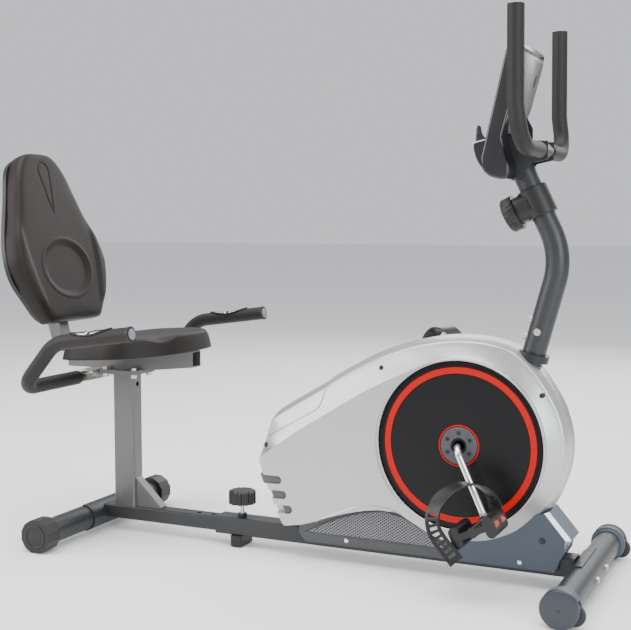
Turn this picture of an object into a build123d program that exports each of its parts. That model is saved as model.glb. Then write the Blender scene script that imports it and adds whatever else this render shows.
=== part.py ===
"""Recumbent exercise bike: magnetic brake, belt drive, telescopic seat frame.

Millimetres. +X forward (from the seat to the console), +Y to the rider's left, +Z up.
The origin is on the floor, in the middle of the bike's length and width.
"""

import os
from math import atan2, cos, radians, sin, tan

from build123d import *

# ---- driving sizes -------------------------------------------------------------------------

# Floor frame
front_x = 707.66           # front stabiliser axis, ahead of the origin
wheelbase = 1237.5         # between the two stabiliser axes
stabiliser_length = 540.0  # over the end caps
stabiliser_r = 30.0
stabiliser_wall = 2.0
foot_r = 39.3              # axis height of both stabilisers above the floor
foot_flat = 0.5            # how much the round front caps are flattened on the floor
cap_width = 44.0
beam_width = 50.0
beam_height = 42.0
beam_wall = 3.0
beam_z = 49.5              # centre height of both beams
beam_rear = 889.0          # main beam's open end, behind the front axis
slide_width = 40.0         # rear beam, which slides in the main beam
slide_height = 34.0
slide_wall = 2.5
slide_overlap = 250.0      # rear beam's length inside the main beam
slide_gap = 0.2            # running clearance between rear beam and bush
hole_pitch = 40.0          # between the seat positions
hole_steps = 3             # positions each way from the middle one
saddle_length = 150.0      # sleeve that carries a stabiliser
saddle_wall = 3.0

# Adjusting knob
knob_back = 828.0          # behind the front axis
pin_r = 5.0
pin_gap = 0.05
adjust_knob_r = 33.0

# Seat
post_back = 1153.4         # seat post centre, behind the front axis
post_depth = 60.0
post_width = 40.0
post_top = 403.0
seat_beam_width = 40.0
cushion_rear = 1222.0
cushion_front = 950.0
cushion_width = 404.0
cushion_thick = 52.0
cushion_tilt = 3.5
cushion_nose = 50.0        # half width of the front edge's straight middle
cushion_base = 450.5       # underside height at the cushion's rear edge
back_lean = 15.96          # backrest's lean from upright
back_foot = (1297.0, 527.0)  # behind the front axis, height: lower edge of the front face
back_thick = 36.0
shell_thick = 11.0

# Crank and drive
crank_back = 267.0
crank_z = 299.4
crank_length = 165.0
crank_angle = -63.0        # right arm, from straight ahead
crank_rod_r = 8.0
journal_r = 12.0
running_gap = 0.05
disc_r = 183.0
disc_gap = 3.0
pulley_r = 120.0
small_pulley_r = 17.0
belt_inner_y = 33.0
belt_width = 10.0
belt_thick = 3.0
belt_gap = 0.3
flywheel_back = 545.0
flywheel_z = 240.0
flywheel_r = 100.0
flywheel_width = 26.0
axle_r = 8.0

# Shroud
shroud_half = 60.0         # half of the width over both halves
shroud_wall = 3.0
shroud_taper = 13.0        # draft of the rim towards each side face
trim_out = 46.0
trim_in = 42.0

# Mast, handlebars, console
mast_r = 25.0
mast_wall = 2.5
mast_foot = (124.0, 491.0)    # behind the front axis, height
mast_bend = (64.4, 709.7)
mast_top = (170.0, 929.0)
mast_bend_r = 160.0
handle_tube_r = 12.7
foam_r = 17.0
foam_bore_gap = 0.15
front_handle_half = 190.0
front_handle_top = 1202.0
side_handle_half = 315.5
console_half = 88.0

# ---- places worked out from the sizes --------------------------------------------------------

rear_x = front_x - wheelbase
crank_x = front_x - crank_back
flywheel_x = front_x - flywheel_back
knob_x = front_x - knob_back
post_x = front_x - post_back
beam_rear_x = front_x - beam_rear
slide_front_x = beam_rear_x + slide_overlap
beam_top = beam_z + beam_height / 2
half_stabiliser = stabiliser_length / 2
rear_tube_half = half_stabiliser - 6.0     # the caps' end walls cover the tube's ends
front_tube_half = half_stabiliser - 30.0   # the wheel runs outboard of the tube's end

os.makedirs("parts", exist_ok=True)


def save(part, name):
    """Label a finished piece and write its STEP file."""
    part.label = name
    export_step(part, f"parts/{name}.step")


def side(y):
    """Plane across the bike at y: its sketch axes are X and Z, and it extrudes towards -Y."""
    return Plane.XZ.offset(-y)


def behind(points):
    """Turn (distance behind the front axis, height) pairs into (x, z) pairs."""
    return [(front_x - back, z) for back, z in points]


def slab(points, y_low, y_high):
    """Flat plate of a side-view outline between two y values."""
    with BuildPart() as plate:
        with BuildSketch(side(y_high)):
            with BuildLine():
                Polyline(*points, close=True)
            make_face()
        extrude(amount=y_high - y_low)
    return plate.part


def cross_rod(x, z, r_out, y_low, y_high, r_in=0.0):
    """Round bar or ring along Y."""
    with BuildPart() as rod:
        with BuildSketch(side(y_high)):
            with Locations((x, z)):
                Circle(r_out)
                if r_in:
                    Circle(r_in, mode=Mode.SUBTRACT)
        extrude(amount=y_high - y_low)
    return rod.part


def bent_tube(points, bends, r_out, r_in=0.0):
    """Round tube or bar along straight runs joined by tangent arcs."""
    with BuildPart() as tube:
        with BuildLine() as route:
            FilletPolyline(*points, radius=bends)
        with BuildSketch(Plane(origin=route.line @ 0, z_dir=route.line % 0)):
            Circle(r_out)
            if r_in:
                Circle(r_in, mode=Mode.SUBTRACT)
        sweep()
    return tube.part


def straight_tube(start, end, r_out, r_in=0.0):
    """Round tube or bar between two points."""
    run = Vector(*end) - Vector(*start)
    with BuildPart() as tube:
        with BuildSketch(Plane(origin=start, z_dir=run)):
            Circle(r_out)
            if r_in:
                Circle(r_in, mode=Mode.SUBTRACT)
        extrude(amount=run.length)
    return tube.part


def box_between(low, high):
    """Box between two corners."""
    sizes = [b - a for a, b in zip(low, high)]
    with BuildPart(Plane(origin=[(a + b) / 2 for a, b in zip(low, high)])) as block:
        Box(*sizes)
    return block.part


# ---- floor frame ---------------------------------------------------------------------------

def saddle(axis_x, facing):
    """Half sleeve round a stabiliser, open on the side away from the beam."""
    with BuildPart() as sleeve:
        add(cross_rod(axis_x, foot_r, stabiliser_r + saddle_wall,
                      -saddle_length / 2, saddle_length / 2, stabiliser_r))
        cut_x = axis_x + facing * (stabiliser_r + saddle_wall) / 2 + facing * 4
        with Locations((cut_x, 0, foot_r)):
            Box(stabiliser_r + saddle_wall, saddle_length + 2, 3 * stabiliser_r, mode=Mode.SUBTRACT)
    return sleeve.part


def beam_tube(x_low, x_high, width, height, wall):
    """Rectangular tube along X."""
    with BuildPart() as tube:
        with BuildSketch(Plane.YZ.offset(x_low)):
            with Locations((0, beam_z)):
                RectangleRounded(width, height, 3.5)
                RectangleRounded(width - 2 * wall, height - 2 * wall, 0.6, mode=Mode.SUBTRACT)
        extrude(amount=x_high - x_low)
    return tube.part


boss_r = 12.0
boss_height = 8.0
with BuildPart() as main_beam:
    add(beam_tube(beam_rear_x, front_x - stabiliser_r + 8, beam_width, beam_height, beam_wall))
    add(cross_rod(front_x, foot_r, stabiliser_r, -saddle_length, saddle_length), mode=Mode.SUBTRACT)
    add(saddle(front_x, 1))
    with BuildSketch(Plane.XY.offset(beam_top)):
        with Locations((knob_x, 0)):
            RegularPolygon(boss_r, 6)
    extrude(amount=boss_height)
    with Locations((knob_x, 0, beam_top)):
        Cylinder(pin_r + pin_gap, 3 * boss_height, mode=Mode.SUBTRACT)
save(main_beam.part, "main_beam")

bush_length = 48.0
with BuildPart() as slide_bush:
    with BuildSketch(Plane.YZ.offset(beam_rear_x)):
        with Locations((0, beam_z)):
            RectangleRounded(beam_width - 2 * beam_wall - 0.1, beam_height - 2 * beam_wall - 0.1, 1)
            Rectangle(slide_width + 2 * slide_gap, slide_height + 2 * slide_gap, mode=Mode.SUBTRACT)
    extrude(amount=bush_length)
save(slide_bush.part, "slide_bush")

foot_back = (846.0, 816.0)
foot_width = 62.0
with BuildPart() as centre_foot:
    add(box_between((front_x - foot_back[0], -foot_width / 2, 2.5),
                    (front_x - foot_back[1], foot_width / 2, beam_z - beam_height / 2)))
    fillet(centre_foot.edges().filter_by(Axis.Z), 5)
save(centre_foot.part, "centre_foot")

with BuildPart() as rear_beam:
    add(beam_tube(rear_x + stabiliser_r - 8, slide_front_x, slide_width, slide_height, slide_wall))
    add(cross_rod(rear_x, foot_r, stabiliser_r, -saddle_length, saddle_length), mode=Mode.SUBTRACT)
    add(saddle(rear_x, -1))
    hole_xs = [knob_x + hole_pitch * step for step in range(-hole_steps, hole_steps + 1)]
    with Locations(*[(x, 0, beam_z + slide_height / 2) for x in hole_xs]):
        Cylinder(pin_r + 1.0, 4 * slide_wall, mode=Mode.SUBTRACT)
save(rear_beam.part, "rear_beam")

for stabiliser_x, tube_half, stabiliser_name in ((front_x, front_tube_half, "front_stabiliser"),
                                                 (rear_x, rear_tube_half, "rear_stabiliser")):
    save(cross_rod(stabiliser_x, foot_r, stabiliser_r, -tube_half, tube_half,
                   stabiliser_r - stabiliser_wall), stabiliser_name)

# Front caps: round cups with a forked nose for the transport wheel.
wheel_r = 22.0
wheel_ahead = 27.0
wheel_z = 28.0
wheel_width = 16.0
wheel_inboard = 18.0       # wheel's middle plane, in from the cap's outer face
wheel_gap = 1.5
wheel_pin_r = 4.0
cap_r = foot_r + foot_flat


def front_cap(turn):
    """Cap on one end of the front stabiliser: turn is -1 on the right and 1 on the left."""
    outer = turn * half_stabiliser
    inner = turn * (half_stabiliser - cap_width)
    low, high = min(outer, inner), max(outer, inner)
    middle = outer - turn * wheel_inboard
    wheel_space = wheel_width / 2 + wheel_gap
    nose_x = front_x + wheel_ahead
    with BuildPart() as cap:
        add(cross_rod(front_x, foot_r, cap_r, low, high))
        with BuildSketch(side(high)):
            with Locations((front_x, foot_r - 8)):
                Circle(cap_r - 9)
            with Locations((nose_x - 3, wheel_z + 1)):
                Circle(wheel_r - 6)
            make_hull()
        extrude(amount=high - low)
        add(cross_rod(front_x, foot_r, stabiliser_r, *sorted((inner - turn, turn * front_tube_half))),
            mode=Mode.SUBTRACT)
        add(cross_rod(nose_x, wheel_z, wheel_r + 3, middle - wheel_space, middle + wheel_space),
            mode=Mode.SUBTRACT)
        add(cross_rod(nose_x, wheel_z, wheel_pin_r, middle - wheel_space, middle + wheel_space))
        add(box_between((front_x - 99, low - 1, -9), (front_x + 99, high + 1, 0)), mode=Mode.SUBTRACT)
    return cap.part, middle


front_caps_parts = [front_cap(-1), front_cap(1)]
with BuildPart() as front_caps:
    for cap_part, _ in front_caps_parts:
        add(cap_part)
save(front_caps.part, "front_caps")

for (_, wheel_y), wheel_name in zip(front_caps_parts, ("wheel_right", "wheel_left")):
    with BuildPart() as wheel:
        add(cross_rod(front_x + wheel_ahead, wheel_z, wheel_r, wheel_y - wheel_width / 2,
                      wheel_y + wheel_width / 2, wheel_pin_r + running_gap))
        chamfer(wheel.edges().filter_by(GeomType.CIRCLE).group_by(SortBy.RADIUS)[-1], 2)
    save(wheel.part, wheel_name)

# Rear caps: twelve flats, so a turn of the cap levels the bike.
cap_sides = 12
cap_clear = 0.1            # running clearance on the tube, so that the cap turns
for cap_turn, cap_name in ((-1, "rear_cap_right"), (1, "rear_cap_left")):
    cap_low, cap_high = sorted((cap_turn * half_stabiliser, cap_turn * (half_stabiliser - cap_width)))
    with BuildPart() as rear_cap:
        with BuildSketch(side(cap_high)):
            with Locations(Location((rear_x, foot_r), 180 / cap_sides)):
                RegularPolygon(foot_r, cap_sides, major_radius=False)
        extrude(amount=cap_high - cap_low)
        fillet(rear_cap.edges().filter_by(Axis.Y), 4)
        bore_low, bore_high = sorted((cap_turn * (half_stabiliser - cap_width - 1),
                                      cap_turn * (rear_tube_half + 0.5)))
        add(cross_rod(rear_x, foot_r, stabiliser_r + cap_clear, bore_low, bore_high), mode=Mode.SUBTRACT)
    save(rear_cap.part, cap_name)

# ---- adjusting knob --------------------------------------------------------------------------

slide_top = beam_z + slide_height / 2
knob_low = 103.0
knob_height = 32.0
with BuildPart() as adjust_pin:
    with BuildSketch(Plane.XY.offset(slide_top + 0.5)):
        with Locations((knob_x, 0)):
            Circle(pin_r)
    extrude(amount=knob_low - slide_top - 0.5)
save(adjust_pin.part, "adjust_pin")

with BuildPart() as adjust_knob:
    with BuildSketch(Plane.XY.offset(knob_low)):
        with Locations((knob_x, 0)):
            Circle(adjust_knob_r)
        with Locations((knob_x, 0)):
            with PolarLocations(adjust_knob_r + 3, 12):
                Circle(6, mode=Mode.SUBTRACT)
    extrude(amount=knob_height)
    chamfer(adjust_knob.faces().sort_by(Axis.Z)[-1].edges(), 4)
save(adjust_knob.part, "adjust_knob")

# ---- seat frame ------------------------------------------------------------------------------

plate_half = 45.0
plate_thick = 5.0
with BuildPart() as seat_post:
    with BuildSketch(Plane.XY.offset(slide_top)):
        with Locations((post_x, 0)):
            RectangleRounded(post_depth, post_width, 5)
            RectangleRounded(post_depth - 5, post_width - 5, 2.5, mode=Mode.SUBTRACT)
    extrude(amount=post_top - slide_top)
    add(slab([(post_x + post_depth / 2 - 1, slide_top), (post_x + post_depth / 2 + 73, slide_top),
              (post_x + post_depth / 2 + 73, slide_top + 4), (post_x + post_depth / 2 - 1, 141)], -13, 13))
    add(box_between((post_x - 52, -plate_half, post_top), (post_x + 52, plate_half, post_top + plate_thick)))
    with Locations((post_x + post_depth / 2, 0, post_top - 28)):
        Cylinder(6, 12, rotation=(0, 90, 0), mode=Mode.SUBTRACT)
save(seat_post.part, "seat_post")

seat_plate_top = post_top + 2 * plate_thick
cushion_slope = tan(radians(cushion_tilt))


def cushion_floor(back):
    """Height of the cushion's underside, by distance behind the front axis."""
    return cushion_base + (cushion_rear - back) * cushion_slope


def seat_beam_side(wall):
    """Side outline of the seat beam, shrunk by a wall."""
    low_rear, low_front = seat_plate_top + wall, 427.0 + wall
    return behind([(1318, low_rear), (1085, low_rear), (953, low_front),
                   (953, cushion_floor(953) - 1.0 - wall),
                   (cushion_rear + 3, cushion_floor(cushion_rear + 3) - 1.0 - wall),
                   (1318, cushion_floor(1190) - 3.0 - wall)])


seat_beam_wall = 2.5
with BuildPart() as seat_beam:
    add(slab(seat_beam_side(0), -seat_beam_width / 2, seat_beam_width / 2))
    add(slab(seat_beam_side(seat_beam_wall), -seat_beam_width / 2 + seat_beam_wall,
             seat_beam_width / 2 - seat_beam_wall), mode=Mode.SUBTRACT)
    add(box_between((post_x - 52, -plate_half, post_top + plate_thick),
                    (post_x + 52, plate_half, seat_plate_top)))
save(seat_beam.part, "seat_beam")

# Cushion: a plain closed solid of the outer size.
with BuildPart() as seat_cushion:
    cushion_plane = Plane(origin=(front_x - cushion_rear, 0, cushion_base),
                          x_dir=(cos(radians(cushion_tilt)), 0, sin(radians(cushion_tilt))),
                          z_dir=(-sin(radians(cushion_tilt)), 0, cos(radians(cushion_tilt))))
    cushion_length = (cushion_rear - cushion_front) / cos(radians(cushion_tilt))
    with BuildSketch(cushion_plane):
        with BuildLine():
            Polyline((0, -cushion_width / 2 + 4), (cushion_length - 110, -cushion_width / 2),
                     (cushion_length, -cushion_nose), (cushion_length, cushion_nose),
                     (cushion_length - 110, cushion_width / 2), (0, cushion_width / 2 - 4), close=True)
        make_face()
        fillet(vertices(), 48)
    extrude(amount=cushion_thick)
    fillet(seat_cushion.faces().sort_by(Axis.Z)[-1].edges(), 14)
save(seat_cushion.part, "seat_cushion")

back_plane = Plane(origin=(front_x - back_foot[0], 0, back_foot[1]), x_dir=(0, 1, 0),
                   z_dir=(cos(radians(back_lean)), 0, sin(radians(back_lean))))
# Half widths up the face, from the lower edge to just under the rounded top.
back_sides = [(84, 2), (122, 20), (150, 62), (176, 112), (184, 160), (175, 216),
              (146, 290), (119, 356), (92, 412)]
back_crown = (50, 441)


def backrest_outline(shrink):
    """Outline of the backrest face, with smooth flanks and a rounded top."""
    right = [(w - shrink, h + (shrink if h < 100 else 0)) for w, h in back_sides]
    left = [(-w, h) for w, h in reversed(right)]
    crown = (back_crown[0], back_crown[1] - shrink)
    with BuildSketch(Plane.XY) as outline:
        with BuildLine():
            Line(left[-1], right[0])
            Spline(*right, crown, (-crown[0], crown[1]), *left)
        make_face()
    return outline.sketch


with BuildPart() as backrest_cushion:
    with BuildSketch(back_plane.offset(-back_thick)):
        add(backrest_outline(0))
    extrude(amount=back_thick)
    fillet(backrest_cushion.faces().sort_by(Axis.X)[-1].edges(), 10)
save(backrest_cushion.part, "backrest_cushion")

with BuildPart() as backrest_shell:
    with BuildSketch(back_plane.offset(-back_thick - shell_thick)):
        add(backrest_outline(6))
    extrude(amount=shell_thick)
save(backrest_shell.part, "backrest_shell")

# Backrest bar: square tube that stands on the seat beam's rear end and bolts to the shell.
bar_half = 19.0
bar_front = back_thick + shell_thick
with BuildPart() as backrest_bar:
    lean_up = Vector(-sin(radians(back_lean)), 0, cos(radians(back_lean)))
    lean_out = Vector(cos(radians(back_lean)), 0, sin(radians(back_lean)))
    bar_foot = back_plane.origin - lean_out * (bar_front + bar_half)
    foot_drop = (bar_foot.Z - cushion_floor(1190) + 26) / lean_up.Z
    with BuildSketch(Plane(origin=bar_foot - lean_up * foot_drop, x_dir=(0, 1, 0), z_dir=lean_up)):
        RectangleRounded(2 * bar_half, 2 * bar_half, 4)
        RectangleRounded(2 * bar_half - 5, 2 * bar_half - 5, 2, mode=Mode.SUBTRACT)
    extrude(amount=foot_drop + 230)
    add(seat_beam.part, mode=Mode.SUBTRACT)
    add(box_between((front_x - 1500, -bar_half, 300), (front_x - 1200, bar_half, cushion_floor(1190) - 3.0)),
        mode=Mode.SUBTRACT)
save(backrest_bar.part, "backrest_bar")

# Side handlebar: one bent tube under the seat, with a hand grip on each side.
side_bar_points = behind([(1229, 398.5), (1136, 508), (934.7, 535.6)])
side_grip_start = 105.0


def side_run(sign, start_y):
    """Route of half of the side handlebar, from start_y out to the grip's end."""
    low_x, low_z = side_bar_points[0]
    return [(low_x, sign * start_y, low_z)] + [(x, sign * side_handle_half, z) for x, z in side_bar_points]


side_bends = [45, 80]
whole_side_run = side_run(1, 0)[:0:-1] + side_run(-1, 0)[1:]
with BuildPart() as side_handle:
    add(bent_tube(whole_side_run, side_bends[::-1] + side_bends, handle_tube_r, handle_tube_r - 2))
save(side_handle.part, "side_handle")

with BuildPart() as side_grips:
    for sign in (-1, 1):
        add(bent_tube(side_run(sign, side_grip_start), side_bends, foam_r, handle_tube_r + foam_bore_gap))
save(side_grips.part, "side_grips")

grip_end = side_bar_points[2]
grip_tilt = atan2(side_bar_points[2][1] - side_bar_points[1][1], side_bar_points[2][0] - side_bar_points[1][0])
with BuildPart() as side_caps:
    for sign in (-1, 1):
        cap_end = (grip_end[0] + 5 * cos(grip_tilt), sign * side_handle_half, grip_end[1] + 5 * sin(grip_tilt))
        add(straight_tube((grip_end[0], sign * side_handle_half, grip_end[1]), cap_end, foam_r + 0.8))
save(side_caps.part, "side_caps")

sensor_start, sensor_end = 148.0, 52.0   # behind the grip's end
with BuildPart() as pulse_sensors:
    for sign in (-1, 1):
        ends = [(grip_end[0] - d * cos(grip_tilt), sign * side_handle_half, grip_end[1] - d * sin(grip_tilt))
                for d in (sensor_start, sensor_end)]
        with BuildPart() as sensor:
            add(straight_tube(*ends, foam_r + 1.8, foam_r + 0.1))
            with Locations(((ends[0][0] + ends[1][0]) / 2, sign * side_handle_half, ends[0][1] - 24)):
                Box(200, 60, 60, mode=Mode.SUBTRACT)
        add(sensor.part)
save(pulse_sensors.part, "pulse_sensors")

clamp_x, clamp_z = side_bar_points[0]
with BuildPart() as side_clamp:
    add(box_between((clamp_x - 20, -70, clamp_z - 2), (clamp_x + 20, 70, seat_plate_top)))
    add(box_between((clamp_x - 19, -92, clamp_z - 17), (clamp_x + 19, 92, clamp_z + 9)))
    add(cross_rod(clamp_x, clamp_z, handle_tube_r, -100, 100), mode=Mode.SUBTRACT)
    add(box_between((clamp_x - 19.5, -110, clamp_z - 18), (clamp_x + 19.5, 110, clamp_z - 9)),
        mode=Mode.SUBTRACT)
save(side_clamp.part, "side_clamp")

with BuildPart() as seat_bolts:
    for bolt_x in (post_x - 42, post_x + 42):
        for bolt_y in (-34, 34):
            with Locations((bolt_x, bolt_y, post_top - 4.5)):
                Cylinder(7, 9)
            with Locations((bolt_x, bolt_y, seat_plate_top + 3)):
                Cylinder(7, 6)
save(seat_bolts.part, "seat_bolts")

# ---- drive -----------------------------------------------------------------------------------

beam_seat = beam_top
bracket_out, bracket_in = 26.0, 18.0
shell_half = 30.0
bearing_r = 22.0
pivot_back, pivot_z, pivot_r = 432.0, 205.0, 4.0
pivot_x = front_x - pivot_back
axle_bearing_r = 16.0
with BuildPart() as drive_bracket:
    for y_low, y_high in ((-bracket_out, -bracket_in), (bracket_in, bracket_out)):
        add(slab(behind([(585, beam_seat), (585, 200), (566, 262), (524, 262), (pivot_back + 10, 226),
                         (pivot_back - 16, 222), (pivot_back - 16, 190), (360, 110), (302, 150),
                         (302, 320), (286, 332), (264, 332), (264, beam_seat)]), y_low, y_high))
        add(cross_rod(flywheel_x, flywheel_z, axle_bearing_r, y_low, y_high), mode=Mode.SUBTRACT)
        add(cross_rod(pivot_x, pivot_z, pivot_r + running_gap, y_low, y_high), mode=Mode.SUBTRACT)
    add(cross_rod(crank_x, crank_z, bearing_r + 4, -shell_half, shell_half))
    add(cross_rod(crank_x, crank_z, bearing_r, -shell_half, shell_half), mode=Mode.SUBTRACT)
save(drive_bracket.part, "drive_bracket")

with BuildPart() as bearings:
    for y_low, y_high in ((-shell_half, -shell_half + 12), (shell_half - 12, shell_half)):
        add(cross_rod(crank_x, crank_z, bearing_r, y_low, y_high, journal_r + running_gap))
    for y_low, y_high in ((-bracket_out, -bracket_in), (bracket_in, bracket_out)):
        add(cross_rod(flywheel_x, flywheel_z, axle_bearing_r, y_low, y_high, axle_r + running_gap))
save(bearings.part, "bearings")

arm_dir = (cos(radians(crank_angle)), sin(radians(crank_angle)))
arm_bend_y, arm_end_y = 84.0, 103.0
pedal_gap = 6.0
eye_half = 8.0


def crank_point(sign, r, y):
    """Point on a crank arm: sign -1 is the right arm and 1 the left, opposite it."""
    return (crank_x - sign * r * arm_dir[0], sign * y, crank_z - sign * r * arm_dir[1])


right_eye = crank_point(-1, crank_length, arm_end_y)
left_eye = crank_point(1, crank_length, arm_end_y)
with BuildPart() as crank_rod:
    add(bent_tube([right_eye, crank_point(-1, 0, arm_bend_y), crank_point(1, 0, arm_bend_y), left_eye],
                  24, crank_rod_r))
    add(cross_rod(crank_x, crank_z, journal_r, -shell_half - 1, shell_half + 1))
    for eye in (right_eye, left_eye):
        add(cross_rod(eye[0], eye[2], 14, eye[1] - eye_half, eye[1] + eye_half))
save(crank_rod.part, "crank_rod")

with BuildPart() as drive_pulley:
    with BuildSketch(side(belt_inner_y + belt_width)):
        with Locations((crank_x, crank_z)):
            Circle(pulley_r)
            Circle(crank_rod_r, mode=Mode.SUBTRACT)
            with PolarLocations(72, 6):
                Circle(26, mode=Mode.SUBTRACT)
    extrude(amount=belt_width)
save(drive_pulley.part, "drive_pulley")

disc_out, disc_in = 60.0, 57.0
hub_hole_r = 17.5
ring_outer = (170.8, 156.4)
ring_inner = (45.7, 42.4)
hub_r = 42.0
for disc_sign, disc_name in ((-1, "disc_right"), (1, "disc_left")):
    save(cross_rod(crank_x, crank_z, disc_r, *sorted((disc_sign * disc_in, disc_sign * disc_out)),
                   hub_hole_r), disc_name)

with BuildPart() as disc_rings:
    for ring_sign in (-1, 1):
        ring_y = sorted((ring_sign * disc_out, ring_sign * (disc_out + 1.6)))
        for r_out, r_in in (ring_outer, ring_inner):
            add(cross_rod(crank_x, crank_z, r_out, *ring_y, r_in))
save(disc_rings.part, "disc_rings")

screw_circle_r = 27.0
with BuildPart() as hub_plates:
    for hub_sign in (-1, 1):
        add(cross_rod(crank_x, crank_z, hub_r, *sorted((hub_sign * disc_out, hub_sign * (disc_out + 2.4))),
                      hub_hole_r))
        with BuildSketch(side(hub_sign * (disc_out + 2.4) + max(0, hub_sign) * 2.2)):
            with Locations((crank_x, crank_z)):
                with PolarLocations(screw_circle_r, 6):
                    Circle(4)
        extrude(amount=2.2)
save(hub_plates.part, "hub_plates")

with BuildPart() as flywheel:
    with BuildSketch(side(flywheel_width / 2)):
        with Locations((flywheel_x, flywheel_z)):
            Circle(flywheel_r)
            Circle(axle_r, mode=Mode.SUBTRACT)
    extrude(amount=flywheel_width)
    for recess_y in (flywheel_width / 2, -flywheel_width / 2 + 6):
        add(cross_rod(flywheel_x, flywheel_z, flywheel_r - 16, recess_y - 6, recess_y, 24),
            mode=Mode.SUBTRACT)
save(flywheel.part, "flywheel")

with BuildPart() as flywheel_axle:
    add(cross_rod(flywheel_x, flywheel_z, axle_r, -bracket_out - 5, belt_inner_y + belt_width + 3))
    add(cross_rod(flywheel_x, flywheel_z, small_pulley_r, belt_inner_y, belt_inner_y + belt_width))
save(flywheel_axle.part, "flywheel_axle")


def belt_loop(grow, width):
    """Solid inside a loop round both pulleys."""
    with BuildPart() as loop:
        with BuildSketch(side(belt_inner_y + belt_width / 2 + width / 2)):
            with Locations((crank_x, crank_z)):
                Circle(pulley_r + grow)
            with Locations((flywheel_x, flywheel_z)):
                Circle(small_pulley_r + grow)
            make_hull()
        extrude(amount=width)
    return loop.part


with BuildPart() as drive_belt:
    add(belt_loop(belt_gap + belt_thick, belt_width - 1))
    add(belt_loop(belt_gap, belt_width + 2), mode=Mode.SUBTRACT)
save(drive_belt.part, "drive_belt")

# Magnet shoe: an arc over the flywheel's rim, swung on a pin in the bracket.
shoe_gap = 3.0
shoe_thick = 9.0
shoe_half = 13.0
with BuildPart() as magnet_shoe:
    with BuildSketch(side(shoe_half)):
        with Locations((flywheel_x, flywheel_z)):
            Circle(flywheel_r + shoe_gap + shoe_thick)
            Circle(flywheel_r + shoe_gap, mode=Mode.SUBTRACT)
        with BuildLine():
            Polyline((flywheel_x, flywheel_z), (flywheel_x + 400, flywheel_z - 150),
                     (flywheel_x + 400, flywheel_z + 400), (flywheel_x - 30, flywheel_z + 400), close=True)
        make_face(mode=Mode.INTERSECT)
    extrude(amount=2 * shoe_half)
    add(cross_rod(pivot_x, pivot_z, 9, -shoe_half, shoe_half))
    add(cross_rod(flywheel_x, flywheel_z, flywheel_r + shoe_gap, -20, 20), mode=Mode.SUBTRACT)
    add(cross_rod(pivot_x, pivot_z, pivot_r, -bracket_out - 2, bracket_out + 2))
save(magnet_shoe.part, "magnet_shoe")

# ---- pedals ----------------------------------------------------------------------------------

pedal_length, pedal_width, pedal_thick = 99.0, 88.0, 22.0
pedal_tilt = 24.0
spindle_r = 6.5
strap_wide, strap_thick, strap_high = 33.0, 3.0, 84.0
for pedal_sign, pedal_side, eye in ((-1, "right", right_eye), (1, "left", left_eye)):
    inner_y = eye[1] + pedal_sign * (eye_half + pedal_gap)
    outer_y = inner_y + pedal_sign * pedal_width
    middle_y = (inner_y + outer_y) / 2
    pedal_plane = Plane(origin=(eye[0], middle_y, eye[2]),
                        x_dir=(cos(radians(pedal_tilt)), 0, sin(radians(pedal_tilt))),
                        z_dir=(-sin(radians(pedal_tilt)), 0, cos(radians(pedal_tilt))))
    across = Plane(origin=pedal_plane.origin, x_dir=pedal_plane.x_dir, z_dir=(0, -1, 0))
    with BuildPart() as pedal:
        with BuildSketch(across):
            for bar_x in (-pedal_length / 2 + 11, pedal_length / 2 - 11):
                with Locations((bar_x, 0)):
                    SlotOverall(46, pedal_thick, rotation=90)
        extrude(amount=pedal_width / 2, both=True)
        with BuildSketch(across):
            Rectangle(pedal_length - 24, 13)
            Circle(11)
        extrude(amount=pedal_width / 2, both=True)
        with BuildSketch(across):
            for slot_x in (-24, 24):
                with Locations((slot_x, 0)):
                    Rectangle(15, 30)
        extrude(amount=pedal_width / 2 - 12, both=True, mode=Mode.SUBTRACT)
        for spindle_low, spindle_high in (sorted((eye[1] + pedal_sign * (eye_half + 0.3), inner_y)),):
            add(cross_rod(eye[0], eye[2], spindle_r, spindle_low, spindle_high))
    save(pedal.part, f"pedal_{pedal_side}")

    # Strap: an arch across the pedal, held to both of its sides.
    strap_outer = pedal_width / 2 + strap_thick + 0.2
    face = Plane(origin=pedal_plane.origin, x_dir=(0, 1, 0), z_dir=pedal_plane.x_dir)
    up = 1 if face.y_dir.Z > 0 else -1
    with BuildPart() as strap:
        with BuildSketch(face):
            for grow, mode in ((0, Mode.ADD), (-strap_thick, Mode.SUBTRACT)):
                half = strap_outer + grow
                with BuildLine():
                    Line((-half, -14 * up), (half, -14 * up))
                    Line((half, -14 * up), (half, 44 * up))
                    ThreePointArc((half, 44 * up), (0, (strap_high + 13 + grow) * up), (-half, 44 * up))
                    Line((-half, 44 * up), (-half, -14 * up))
                make_face(mode=mode)
        extrude(amount=strap_wide / 2, both=True)
        add(cross_rod(eye[0], eye[2], spindle_r + 0.5, middle_y - pedal_width, middle_y + pedal_width),
            mode=Mode.SUBTRACT)
    save(strap.part, f"strap_{pedal_side}")

# ---- shroud ----------------------------------------------------------------------------------

shroud_rim_r = 240.0


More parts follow.
